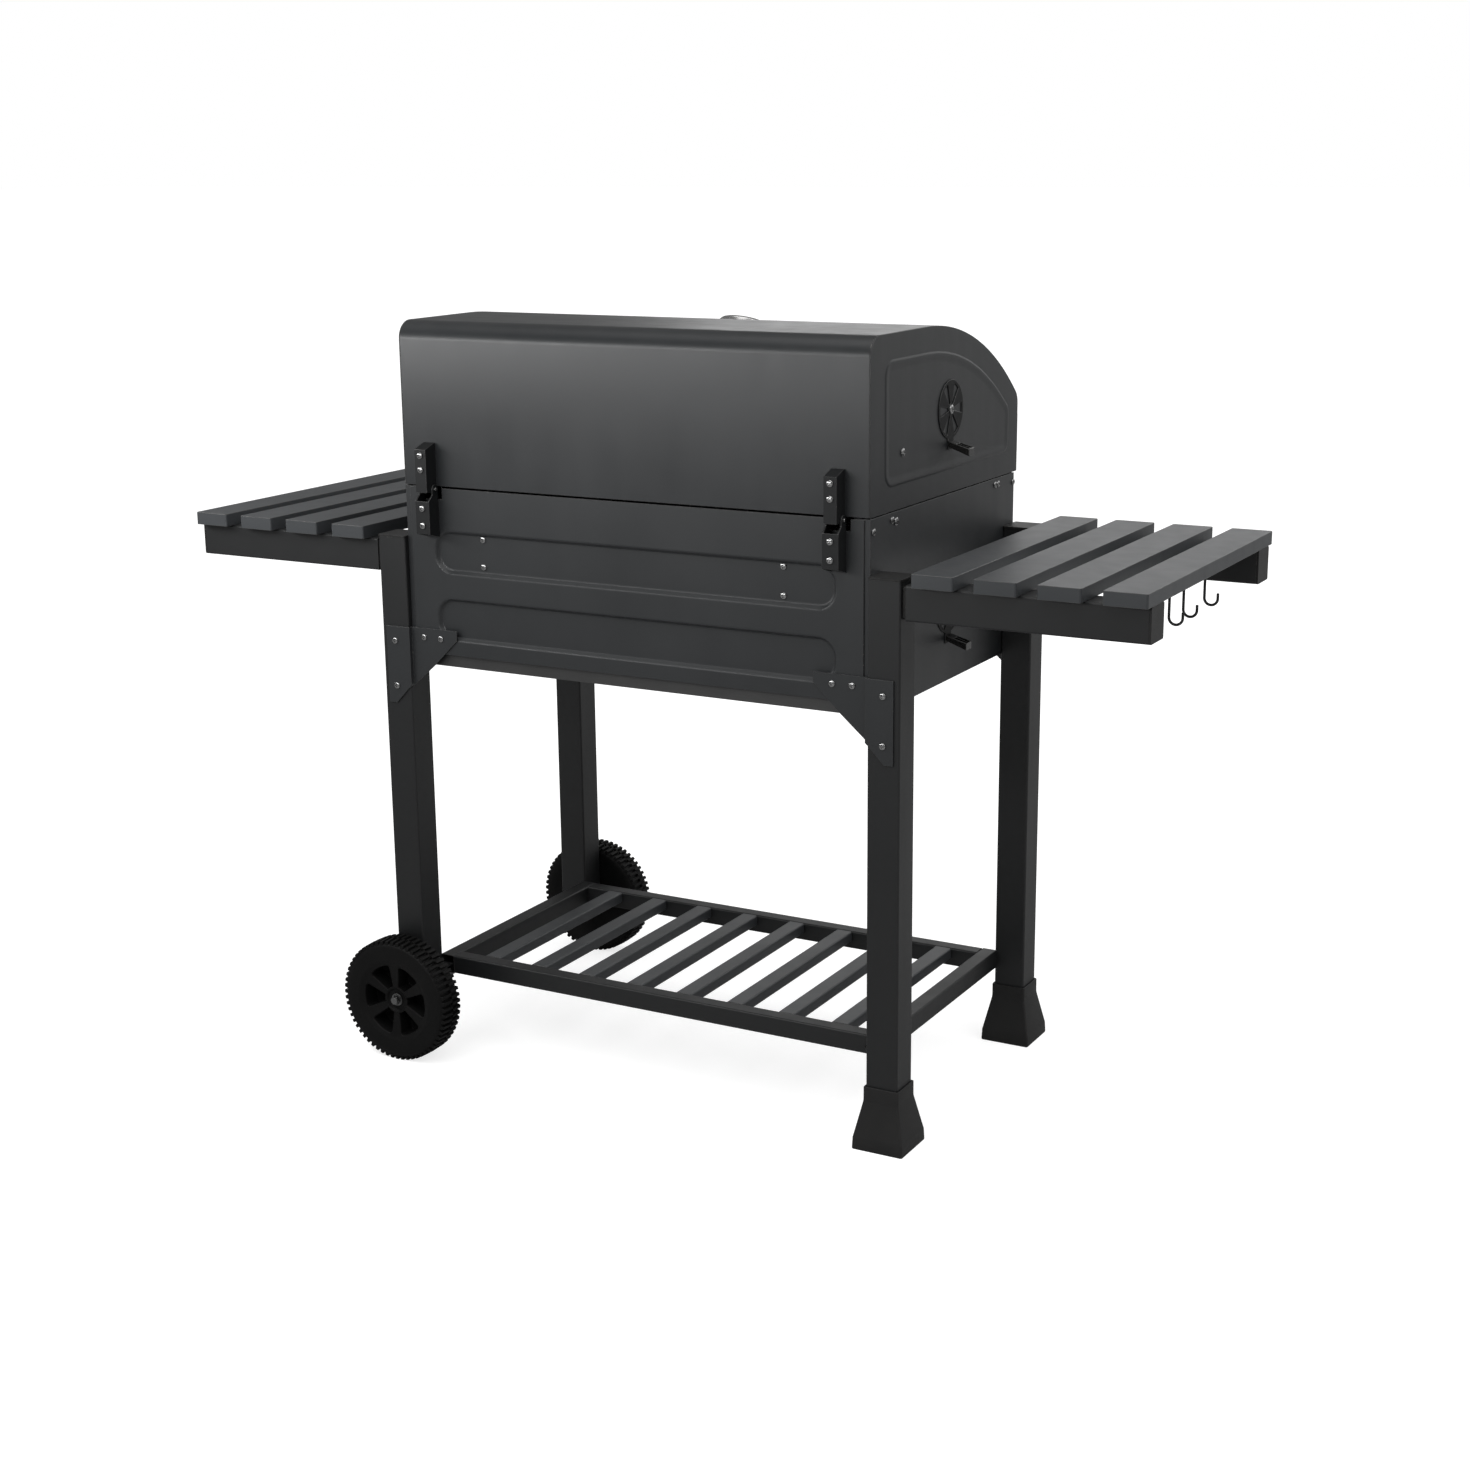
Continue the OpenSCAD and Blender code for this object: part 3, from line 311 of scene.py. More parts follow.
def dial_print(name):
    finish = Finish(name)
    mottle = finish.noise(220, 2)
    finish.surface(Base_Color=finish.mix(mottle, grey(0.74, 0.03), grey(0.82, 0.02)))
    finish.surface(Roughness=0.4 + 0.1 * mottle)
    return finish.material


finishes["enamel_grate"] = enamel("enamel_grate")
finishes["dial_face"] = dial_print("dial_face")
print("finishes in all:", len(finishes))

# %% [markdown]
# ## Rounding the edges of carried-over pieces
# No real edge is perfectly sharp. A folded or sawn edge has a radius of half a millimetre or so, and the
# thin highlight along it is what makes a black object readable. The frame's own meshes are kept as they
# are, so this is done with modifiers: Weld closes the seams between faces, Decimate joins the
# triangles of each flat face into one, Bevel rounds every edge sharper than the angle, and Weighted
# Normal keeps the flat faces flat. A few nodes have a finish of their own: the lid ends and the hinge
# brackets take darker copies of the paint as painted shade, and the dampers, nuts and axle have their own
# finishes.

# %% Edge rounding and finishes for every CAD node
EDGE_ANGLE = math.radians(28)
FLAT_ANGLE = math.radians(0.1)
ROUNDING = {
    "black_paint": 0.7 * MM,
    "box_paint": 0.5 * MM,
    "lid_paint": 0.6 * MM,
    "slat_paint": 0.8 * MM,
    "enamel_grate": 1.2 * MM,
}
DEFAULT_ROUNDING = 0.4 * MM


def round_edges(piece, width, segments=2, edge_material=None):
    weld = piece.modifiers.new("weld", "WELD")
    weld.merge_threshold = 0.01 * MM
    flats = piece.modifiers.new("flats", "DECIMATE")
    flats.decimate_type = "DISSOLVE"
    flats.angle_limit = FLAT_ANGLE
    bevel = piece.modifiers.new("round", "BEVEL")
    bevel.width = width
    bevel.segments = segments
    bevel.limit_method = "ANGLE"
    bevel.angle_limit = EDGE_ANGLE
    bevel.use_clamp_overlap = False
    if edge_material is not None:
        bevel.material = edge_material
    normals = piece.modifiers.new("normals", "WEIGHTED_NORMAL")
    normals.keep_sharp = False


OWN_FINISH = {
    "lid_left_end": lid_end_shaded_paint, "lid_right_end": lid_end_shaded_paint,
    "hinge_brackets_lower": hinge_shaded_paint, "hinge_brackets_upper": hinge_shaded_paint,
    "axle_nuts": nut_steel, "wheel_axle": nut_steel,
}
for part in ("lid", "box"):
    for side in ("left", "right"):
        OWN_FINISH[f"damper_{part}_{side}"] = damper_paint

for name, node in NODES.items():
    slot = node.material_slots[0].name.split(".")[0]
    node.data.materials.clear()
    node.data.materials.append(OWN_FINISH.get(name, finishes[slot]))
    if slot in edges:
        node.data.materials.append(edges[slot])
    round_edges(node, ROUNDING.get(slot, DEFAULT_ROUNDING), 2, 1 if slot in edges else None)
print("rounded and finished", len(NODES), "nodes")

# %% [markdown]
# ## Building shapes in code
# The pieces that follow are made with bmesh, Blender's mesh toolkit. Two ways of making a shape cover
# nearly all of them: a stack of outlines joined like the ribs of a hull, and an outline turned about
# an axis. `new_piece` then makes an object of the shape, gives it its finish, and lets it move with
# its part of the grill.

# %% Shape helpers
SHARP = math.radians(32)
WELD = 0.002 * MM


def local_mm(origin, rotation=Matrix.Identity(4)):
    """Matrix from a shape's own millimetres to metres in the frame."""
    return Matrix.Translation(origin) @ rotation @ Matrix.Scale(MM, 4)


def arc(centre, radius, start, end, steps):
    """Points on an arc, from one angle to another in degrees."""
    angles = [math.radians(start + (end - start) * i / steps) for i in range(steps + 1)]
    return [(centre[0] + radius * math.cos(a), centre[1] + radius * math.sin(a)) for a in angles]


def rounded_box(half_w, half_h, radius, steps=5):
    """Outline of a rectangle with round corners, centred on the origin."""
    x, y = half_w - radius, half_h - radius
    corners = [((x, y), 0), ((-x, y), 90), ((-x, -y), 180), ((x, -y), 270)]
    return [p for centre, start in corners for p in arc(centre, radius, start, start + 90, steps)]


def smooth_step(t):
    """0 to 1 as t goes from 0 to 1, level at both ends."""
    return t * t * (3 - 2 * t)


def join_rings(bm, rings, closed):
    """Faces between each ring of vertices and the next, and from the last to the first if closed."""
    count = len(rings[0])
    following = rings[1:] + rings[:1] if closed else rings[1:]
    for one, two in zip(rings, following):
        for i in range(count):
            j = (i + 1) % count
            bm.faces.new((one[i], one[j], two[j], two[i]))


def stack(bm, layers, place):
    """One capped solid through outlines of the same number of points, each with its height."""
    rings = [[bm.verts.new(place @ Vector((x, y, z))) for x, y in line] for z, line in layers]
    join_rings(bm, rings, False)
    bm.faces.new(list(reversed(rings[0])))
    bm.faces.new(rings[-1])


def turned(bm, profile, place, steps=48):
    """A closed outline of (radius, height) points, turned about the Z axis."""
    rings = []
    for k in range(steps):
        a = 2 * math.pi * k / steps
        spots = [Vector((r * math.cos(a), r * math.sin(a), z)) for r, z in profile]
        rings.append([bm.verts.new(place @ p) for p in spots])
    join_rings(bm, rings, True)
    bmesh.ops.remove_doubles(bm, verts=[v for ring in rings for v in ring], dist=WELD)


def new_mesh(name, bm):
    bmesh.ops.recalc_face_normals(bm, faces=bm.faces)
    mesh = bpy.data.meshes.new(name)
    bm.to_mesh(mesh)
    bm.free()
    mesh.polygons.foreach_set("use_smooth", [True] * len(mesh.polygons))
    mesh.set_sharp_from_angle(angle=SHARP)
    return mesh


def new_piece(name, bm, body, slot, stands_for=(), finish=None):
    piece = bpy.data.objects.new(name, new_mesh(name, bm))
    bpy.context.scene.collection.objects.link(piece)
    piece.data.materials.append(finish or finishes[slot])
    if slot in edges:
        piece.data.materials.append(edges[slot])
    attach(piece, body)
    if stands_for:
        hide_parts(*stands_for)
    return piece


def carve(piece, cutter_bm):
    """Cuts a shape out of a piece, and keeps the result as its mesh."""
    cutter = bpy.data.objects.new("cutter", new_mesh("cutter", cutter_bm))
    bpy.context.scene.collection.objects.link(cutter)
    cut = piece.modifiers.new("cut", "BOOLEAN")
    cut.object = cutter
    cut.solver = "EXACT"
    bpy.context.view_layer.update()
    mesh = bpy.data.meshes.new_from_object(piece.evaluated_get(bpy.context.evaluated_depsgraph_get()))
    piece.modifiers.remove(cut)
    piece.data = mesh
    mesh.set_sharp_from_angle(angle=SHARP)
    bpy.data.objects.remove(cutter)


print("shape helpers ready")

# %% [markdown]
# ## Wheels
# Each wheel is one blow-moulded shell: a flat side wall, six spokes with deep pockets between them, and a
# hub set back round the axle's end. One outline turned about the axle gives the shell, and the
# pockets are cut out of it. Each pocket keeps a back wall, because the shell is closed.

# %% Wheel shells
SPOKES = 6
POCKET_HALF_ANGLE = 20.5
POCKET_IN, POCKET_OUT, POCKET_FLOOR = 22, 58.5, 14
POCKET_ROUND = 3
AXLE_BORE = 6.3
WHEEL_STEPS = 96
WHEEL_ROUNDING = 1.4 * MM
HUB_TOP, BEYOND_WHEEL = 36, 60
WHEEL_SIDE = [
    (21, 0), (22, 8), (56, 10), (66, 6), (76, 2), (86, 0), (92, 1.2), (95, 4), (95, 44),
    (92, 46.8), (86, 48), (69, 47.8), (66, 47), (63, 45.4), (58, 43.5), (40, 41.5), (22, 40.5),
    (18.5, 39.5), (17, 36),
]
WHEEL_PROFILE = [(AXLE_BORE, 0)] + WHEEL_SIDE + [(AXLE_BORE, HUB_TOP)]


def wheel_place(name):
    """Matrix that sets the wheel's inner face on the XY plane, with its outer face towards +Z."""
    low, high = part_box(name)
    outward = 1 if low.y > 0 else -1
    origin = Vector(((low.x + high.x) / 2, min(low.y, high.y, key=abs), (low.z + high.z) / 2))
    return local_mm(origin, Matrix.Rotation(math.radians(-90 * outward), 4, "X"))


def pocket(middle):
    """Outline of the pocket at that angle between two spokes, with its corners cut back."""
    half = POCKET_HALF_ANGLE
    out_turn = math.degrees(POCKET_ROUND / POCKET_OUT)
    in_turn = math.degrees(0.6 * POCKET_ROUND / POCKET_IN)
    wide = arc((0, 0), POCKET_OUT, middle - half + out_turn, middle + half - out_turn, 8)
    shoulders = arc((0, 0), POCKET_OUT - POCKET_ROUND, middle + half, middle - half, 1)
    narrow = arc((0, 0), POCKET_IN, middle + half - in_turn, middle - half + in_turn, 4)
    return wide + shoulders[:1] + narrow + shoulders[1:]


def wheel_shell(name, body):
    place = wheel_place(name)
    bm = bmesh.new()
    turned(bm, WHEEL_PROFILE, place, WHEEL_STEPS)
    piece = new_piece(name + "_shell", bm, body, "black_plastic", (name,), tyre_plastic)
    pockets = bmesh.new()
    for i in range(SPOKES):
        outline = pocket(360 * i / SPOKES)
        stack(pockets, [(POCKET_FLOOR, outline), (BEYOND_WHEEL, outline)], place)
    carve(piece, pockets)
    round_edges(piece, WHEEL_ROUNDING, 3)
    return piece


WHEELS = {"wheel_rear": "rear_wheel", "wheel_front": "front_wheel"}
for name, body in WHEELS.items():
    print(wheel_shell(name, body).name, "with", SPOKES, "pockets")

# %% [markdown]
# ## Tread
# The tread is two rows of blocks, one row half a pitch behind the other, so that the wheel rolls
# quietly on stone. A block tapers to its top so that it comes out of the mould, and it slopes down
# at its shoulder. One block is a small hull of two quads, repeated round the wheel by a loop.

# %% Tread blocks
BLOCKS = 60
BLOCK_FOOT_R, BLOCK_TOP_R, BLOCK_SHOULDER_R = 93.5, 100, 99.2
BLOCK_INNER_HALF_TURNS, BLOCK_SHOULDER_HALF_TURNS = (1.5, 1.2), (1.9, 1.45)
SHOULDER_SLOPE = 1.2
BLOCK_ROWS = [(24.5, 46.2, 0.0), (23.5, 1.8, 0.5)]
BLOCK_ROUNDING = 0.45 * MM


def tread_block(bm, place, turn, inner, shoulder):
    """A tapered block between two heights, sloping down at the shoulder."""
    slope = SHOULDER_SLOPE if shoulder > inner else -SHOULDER_SLOPE
    inner_end = (inner, inner, BLOCK_TOP_R, *BLOCK_INNER_HALF_TURNS)
    shoulder_end = (shoulder, shoulder - slope, BLOCK_SHOULDER_R, *BLOCK_SHOULDER_HALF_TURNS)
    rings = []
    for z, top_z, top_r, foot, top in (inner_end, shoulder_end):
        spots = [(BLOCK_FOOT_R, -foot, z), (BLOCK_FOOT_R, foot, z)]
        spots += [(top_r, top, top_z), (top_r, -top, top_z)]
        ring = []
        for r, offset, height in spots:
            a = math.radians(turn + offset)
            ring.append(bm.verts.new(place @ Vector((r * math.cos(a), r * math.sin(a), height))))
        rings.append(ring)
    join_rings(bm, rings, False)
    bm.faces.new(list(reversed(rings[0])))
    bm.faces.new(rings[1])


def tread(name, body):
    bm = bmesh.new()
    pitch = 360 / BLOCKS
    for inner, shoulder, lag in BLOCK_ROWS:
        for i in range(BLOCKS):
            tread_block(bm, wheel_place(name), (i + lag) * pitch, inner, shoulder)
    piece = new_piece(name + "_tread", bm, body, "black_plastic", finish=tyre_plastic)
    round_edges(piece, BLOCK_ROUNDING, 2)
    return piece


for name, body in WHEELS.items():
    print(tread(name, body).name, "with", 2 * BLOCKS, "blocks")

# %% [markdown]
# ## Feet
# The two legs at the other end stand in moulded boots: a close collar, a straight flare and an upright
# band at the floor. A boot is a stack of rounded squares. Close pairs of outlines at each change
# of slope keep its edges crisp but not sharp, and the last ones turn down into the open collar.

# %% Feet
FOOT_LAYERS = [
    (0.000, 0.985, 2.6), (0.008, 0.996, 2.8), (0.020, 1.000, 2.8), (0.190, 0.982, 2.8),
    (0.215, 0.968, 2.8), (0.745, 0.704, 2.8), (0.775, 0.694, 2.8), (0.800, 0.692, 2.8),
    (0.985, 0.690, 2.8), (0.996, 0.684, 2.6), (1.000, 0.674, 2.4), (1.000, 0.636, 2.2),
    (0.985, 0.628, 2.2), (0.800, 0.624, 2.2),
]


def foot(name):
    low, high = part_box(name)
    size = (high - low) / MM
    layers = [(size.z * z, rounded_box(size.x / 2 * s, size.y / 2 * s, r)) for z, s, r in FOOT_LAYERS]
    bm = bmesh.new()
    stack(bm, layers, local_mm(Vector(((low.x + high.x) / 2, (low.y + high.y) / 2, low.z))))
    return new_piece(name + "_boot", bm, "cart", "black_plastic", (name,))


for name in ("foot_rear", "foot_front"):
    print(foot(name).name, "has", len(FOOT_LAYERS), "outlines")

# %% [markdown]
# ## Screws and rivets
# The sheet steel is held by plated pan-head screws with a cross recess. One frame node holds all the
# screws of a body, so it is taken apart into islands of joined faces. An island is as wide as its
# head at one end and as its shank at the other, which says where each new screw goes and faces.

# %% Screws
DOME_STEPS, HEAD_STEPS, SHANK_STEPS = 6, 28, 12
HEAD_HEIGHT, DOME_SHARE, UNDERCUT = 2.8, 0.62, 0.97
CROSS_LONG, CROSS_WIDE, CROSS_DEEP = 2.9, 0.6, 1.5
CROSS_HEAD = 5
SHANK = 1.8


def islands(name):
    """Lists of the points of each separate solid in a node."""
    bm = bmesh.new()
    bm.from_mesh(NODES[name].data)
    bmesh.ops.remove_doubles(bm, verts=bm.verts, dist=0.01 * MM)
    found, seen = [], set()
    for first in bm.verts:
        if first in seen:
            continue
        group, todo = [], [first]
        seen.add(first)
        while todo:
            vert = todo.pop()
            group.append(vert.co.copy())
            others = [edge.other_vert(vert) for edge in vert.link_edges]
            todo += [v for v in others if v not in seen]
            seen.update(others)
        found.append(group)
    bm.free()
    return found


def screw_mesh(radius, length):
    """One screw in its own millimetres: its dome towards +Z, the top of it at height 0."""
    rim = -HEAD_HEIGHT * DOME_SHARE
    curve = arc((0, 0), 1, 0, 90, DOME_STEPS)
    dome = [(radius * x, rim - rim * y) for x, y in curve]
    profile = [(0, -HEAD_HEIGHT), (radius * UNDERCUT, -HEAD_HEIGHT)] + dome
    bm = bmesh.new()
    turned(bm, profile, Matrix.Identity(4), HEAD_STEPS)
    head = bpy.data.objects.new("head", new_mesh("head", bm))
    bpy.context.scene.collection.objects.link(head)
    head.data.materials.append(screw_steel)
    long, wide = CROSS_LONG * radius / CROSS_HEAD, CROSS_WIDE * radius / CROSS_HEAD
    arms = [(long, wide), (wide, wide), (wide, long), (-wide, long), (-wide, wide), (-long, wide)]
    arms += [(-x, -y) for x, y in arms]
    cutter = bmesh.new()
    stack(cutter, [(-CROSS_DEEP, arms), (1, arms)], Matrix.Identity(4))
    carve(head, cutter)
    made = bmesh.new()
    made.from_mesh(head.data)
    bpy.data.objects.remove(head)
    shank = [(0, -length), (SHANK, -length), (SHANK, -HEAD_HEIGHT), (0, -HEAD_HEIGHT)]
    turned(made, shank, Matrix.Identity(4), SHANK_STEPS)
    return made


def end_width(points, axis, edge):
    """How wide the points are within half a millimetre of one end."""
    near = [p[(axis + 1) % 3] for p in points if abs(p[axis] - edge) < 0.5 * MM]
    return max(near) - min(near)


def screw_set(name, body):
    bm = bmesh.new()
    for points in islands(name):
        low = Vector([min(p[i] for p in points) for i in range(3)])
        high = Vector([max(p[i] for p in points) for i in range(3)])
        size = high - low
        axis = min(range(3), key=lambda i: abs(size[(i + 1) % 3] - size[(i + 2) % 3]))
        faces_up = end_width(points, axis, high[axis]) > end_width(points, axis, low[axis])
        direction = Vector([0, 0, 0])
        direction[axis] = 1 if faces_up else -1
        top = (low + high) / 2
        top[axis] = high[axis] if faces_up else low[axis]
        screw = screw_mesh(size[(axis + 1) % 3] / MM / 2, size[axis] / MM)
        screw.transform(local_mm(top, direction.to_track_quat("Z", "Y").to_matrix().to_4x4()))
        part = bpy.data.meshes.new("part")
        screw.to_mesh(part)
        screw.free()
        bm.from_mesh(part)
        bpy.data.meshes.remove(part)
    return new_piece(name + "_pan_head", bm, body, "bright_steel", (name,), screw_steel)


for name, body in (("cart_screws", "cart"), ("lid_screws", "lid")):
    print(screw_set(name, body).name, "from", len(islands(name)), "screws")

# %% [markdown]
# ## Damper knobs
# Each damper is turned by a small block of glossy plastic pushed onto the disc's tab. To save material and
# to mould without sinking, its upper side is cored out with two long pockets. The grip is a
# rounded block with the pockets cut from it, and a fine bevel that catches the light.

# %% Knobs
KNOB_WALL, KNOB_ROUND, KNOB_ROUNDING = 2, 1.4, 0.45 * MM
KNOB_ROOT_H, KNOB_DROP = 8, 9
KNOB_SECTIONS = [(0, 0.95), (0.04, 1.0), (0.5, 1.0), (0.96, 1.0), (1.0, 0.94)]
CORE_START, CORE_DEEP, CORE_ROUND = 0.36, 0.55, 0.8


def knob_faces(along, height):
    """Heights of the grip's top and underside at a share of its length, below the top of its root."""
    return -KNOB_DROP * along, -KNOB_ROOT_H - (height - KNOB_ROOT_H) * along


def knob(name, body):
    low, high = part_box(name)
    size = (high - low) / MM
    outward = 1 if low.x > 0 else -1
    root = Vector((min(low.x, high.x, key=abs), (low.y + high.y) / 2, high.z))
    turn_out = Matrix.Rotation(math.radians(90 * outward), 4, "Y")
    place = local_mm(root, turn_out)
    layers = []
    for along, share in KNOB_SECTIONS:
        top, under = knob_faces(along, size.z)
        half, centre = (top - under) / 2 * share, (top + under) / 2
        outline = rounded_box(half, size.y / 2 * share, KNOB_ROUND)
        layers.append((size.x * along, [(-outward * (x + centre), y) for x, y in outline]))
    bm = bmesh.new()
    stack(bm, layers, place)
    piece = new_piece(name + "_grip", bm, body, "knob_plastic", (name,))
    cutters = bmesh.new()
    wide = size.y / 2 - 1.5 * KNOB_WALL
    start, end = size.x * CORE_START, size.x - KNOB_WALL
    middle = root + Vector((outward * (start + end) / 2 * MM, 0, 0))
    bottom = -size.z * CORE_DEEP
    for side in (-1, 1):
        across = side * (wide + KNOB_WALL) / 2
        core = rounded_box((end - start) / 2, wide / 2, CORE_ROUND, 2)
        walls = [(x, y + across) for x, y in core]
        stack(cutters, [(bottom, walls), (size.z, walls)], local_mm(middle))
    carve(piece, cutters)
    round_edges(piece, KNOB_ROUNDING, 2)
    return piece


for part in ("lid", "box"):
    for side in ("left", "right"):
        print(knob(f"knob_{part}_{side}", f"{part}_damper_{side}").name)

# %% [markdown]
# ## Lines pressed into the lid's ends
# A flat end panel would drum and warp in the heat, so a shallow shape is pressed into it, following the
# outline of the lid a hand's width inside the rim. It is swept as a low ridge along a closed path,
# steep towards the rim and falling away gently towards the middle of the panel.

# %% Lid end ridges
ROOF_RADIUS, ROOF_FLAT = 500, 186
RIDGE_REAR, RIDGE_TOP, RIDGE_FRONT, RIDGE_LOW = 47, 39, 40, 37
RIDGE_STEEP, RIDGE_GENTLE, RIDGE_HEIGHT, RIDGE_SUNK = 3.5, 12, 1.0, 0.7
RIDGE_STEPS = 6
REAR_ROUND, BROW_ROUND, FRONT_ROUND = 20, 22, 16
BROW_START, BROW_SHORT, BROW_DROP = 145, 12, 18


def ridge_path():
    """Points (y, z) along the ridge's crest in millimetres, from its lower rear corner round the roof."""
    low, high = (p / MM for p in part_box("lid_left_end"))
    rear, front = high.y - RIDGE_REAR, low.y + RIDGE_FRONT
    top, bottom = high.z - RIDGE_TOP, low.z + RIDGE_LOW
    centre = (high.y - ROOF_FLAT, high.z - ROOF_RADIUS)
    radius = ROOF_RADIUS - RIDGE_TOP
    last = math.degrees(math.acos((front + BROW_SHORT - centre[0]) / radius))
    bend = arc(centre, radius, last, last, 1)[0]
    points = arc((rear - REAR_ROUND, bottom + REAR_ROUND), REAR_ROUND, -90, 0, 6)
    points += arc((rear - REAR_ROUND, top - REAR_ROUND), REAR_ROUND, 0, 90, 6)
    points += arc(centre, radius, 90, last, 24)
    points += arc((front + BROW_ROUND, bend[1] - BROW_DROP), BROW_ROUND, BROW_START, 180, 4)
    points += arc((front + FRONT_ROUND, bottom + FRONT_ROUND), FRONT_ROUND, 180, 270, 6)
    return points


def ridge_section():
    """(distance inwards, height) across the ridge, from the rim's side to the middle's."""
    shares = [i / RIDGE_STEPS for i in range(RIDGE_STEPS + 1)]
    rise = [(-RIDGE_STEEP * (1 - t), RIDGE_HEIGHT * smooth_step(t)) for t in shares]
    fall = [(RIDGE_GENTLE * t, RIDGE_HEIGHT * (1 - smooth_step(t))) for t in shares[1:]]
    return rise + fall + [(RIDGE_GENTLE, -RIDGE_SUNK), (-RIDGE_STEEP, -RIDGE_SUNK)]


def end_ridge(name, side):
    low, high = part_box(name)
    face = (low.x if side < 0 else high.x) / MM
    path = ridge_path()
    bm = bmesh.new()
    rings = []
    for i, (y, z) in enumerate(path):
        before, after = path[i - 1], path[(i + 1) % len(path)]
        along = Vector((after[0] - before[0], after[1] - before[1])).normalized()
        inwards = Vector((-along.y, along.x))
        ring = []
        for distance, height in ridge_section():
            at = Vector((y, z)) + inwards * distance
            ring.append(bm.verts.new(Vector((face + side * height, at.x, at.y)) * MM))
        rings.append(ring)
    join_rings(bm, rings, True)
    # The ridge takes the lid ends' darker copy of the paint, which is painted shade.
    return new_piece(name + "_ridge", bm, "lid", "lid_paint", finish=lid_end_shaded_paint)


for name, side in (("lid_left_end", -1), ("lid_right_end", 1)):
    print(end_ridge(name, side).name, "with", len(ridge_path()), "points round it")

# %% [markdown]
# ## Rear panel of the firebox
# Two long shallow shapes are pressed into the rear panel to stiffen it. Pressed sheet has no sharp
# inner corners: the wall of a pressing rolls over at the top and again at the bottom. The panel
# is made as a net of points whose depth comes from a formula, the distance to a rounded rectangle
# put through a smooth step, and the net is only fine where that formula bends.

# %% Rear panel
PANEL_THICK = 2
PRESS_HALF_L, PRESS_HALF_H, PRESS_ROUND, PRESS_DEPTH = 342, 33.5, 30, 6
PRESS_CENTRES = [823, 719]
PRESS_WALL = 6.5
RIM_LOWERED = 1.2
NOTCH_X, NOTCH_HALF, NOTCH_DEEP = 344, 19, 18
NET_FINE, NET_COARSE, NET_CLOSEST, NET_MARGIN = 1.5, 30, 0.6, 2
PANEL_ROUNDING, PANEL_EDGE_ANGLE = 0.8 * MM, math.radians(60)


def press_depth(x, z):
    """How far the sheet is pressed in at a point, in millimetres."""
    depth = 0
    for centre in PRESS_CENTRES:
        dx = abs(x) - PRESS_HALF_L + PRESS_ROUND
        dz = abs(z - centre) - PRESS_HALF_H + PRESS_ROUND
        outside = math.hypot(max(dx, 0), max(dz, 0)) + min(max(dx, dz), 0) - PRESS_ROUND
        t = min(max(-outside / PRESS_WALL, 0), 1)
        depth = max(depth, PRESS_DEPTH * smooth_step(t))
    return depth


def net_lines(low, high, coarse_to, extra):
    """Positions from low to high: coarse near the middle, fine beyond it, and through the extra ones."""
    spots, at = [], low
    while at < high:
        spots.append(at)
        at += NET_COARSE if -coarse_to <= at < coarse_to - NET_COARSE else NET_FINE
    return sorted([s for s in spots if all(abs(s - e) > NET_CLOSEST for e in extra)] + extra)


def rear_panel(name):
    low, high = (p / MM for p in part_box(name))
    rim = high.z - RIM_LOWERED
    notch_sides = [s * (NOTCH_X + o) for s in (-1, 1) for o in (-NOTCH_HALF, NOTCH_HALF)]
    straight = PRESS_HALF_L - PRESS_ROUND - NET_MARGIN
    columns = net_lines(low.x, high.x, straight, notch_sides + [low.x, high.x])
    rows = net_lines(low.z, rim, 0, [high.z - NOTCH_DEEP, low.z, rim])
    bm = bmesh.new()
    layers = []
    for back in (0, PANEL_THICK):
        net = [[Vector((x, high.y - back - press_depth(x, z), z)) for z in rows] for x in columns]
        layers.append([[bm.verts.new(p * MM) for p in line] for line in net])
    front, rear = layers

    def kept(i, j):
        x, z = (columns[i] + columns[i + 1]) / 2, (rows[j] + rows[j + 1]) / 2
        return not (z > high.z - NOTCH_DEEP and abs(abs(x) - NOTCH_X) < NOTCH_HALF)

    for i in range(len(columns) - 1):
        for j in range(len(rows) - 1):
            if kept(i, j):
                spots = [(i, j), (i, j + 1), (i + 1, j + 1), (i + 1, j)]
                bm.faces.new([front[a][b] for a, b in spots])
                bm.faces.new([rear[a][b] for a, b in reversed(spots)])
    twin = {one: two for fronts, rears in zip(front, rear) for one, two in zip(fronts, rears)}
    rims = [e for e in bm.edges if len(e.link_faces) == 1 and e.verts[0] in twin]
    for one, two in [rim.verts for rim in rims]:
        bm.faces.new((one, two, twin[two], twin[one]))
    bmesh.ops.delete(bm, geom=[v for v in bm.verts if not v.link_faces], context="VERTS")
    piece = new_piece(name + "_pressed", bm, "cart", "box_paint", (name,))
    bevel = piece.modifiers.new("round", "BEVEL")
    bevel.width = PANEL_ROUNDING
    bevel.segments = 2
    bevel.limit_method = "ANGLE"
    bevel.angle_limit = PANEL_EDGE_ANGLE
    bevel.material = 1
    return piece


print(rear_panel("firebox_rear").name, "with", len(PRESS_CENTRES), "pressings")

# %% [markdown]
# ## Heat gauge
# The gauge on the roof has a white dial with a ring of marks and a few numbers, and a black needle on a
# small boss. The marks are thin raised blocks set out by a loop, and the numbers are text turned
# into a mesh. Everything is built flat and upright, then tilted onto the roof by one matrix.

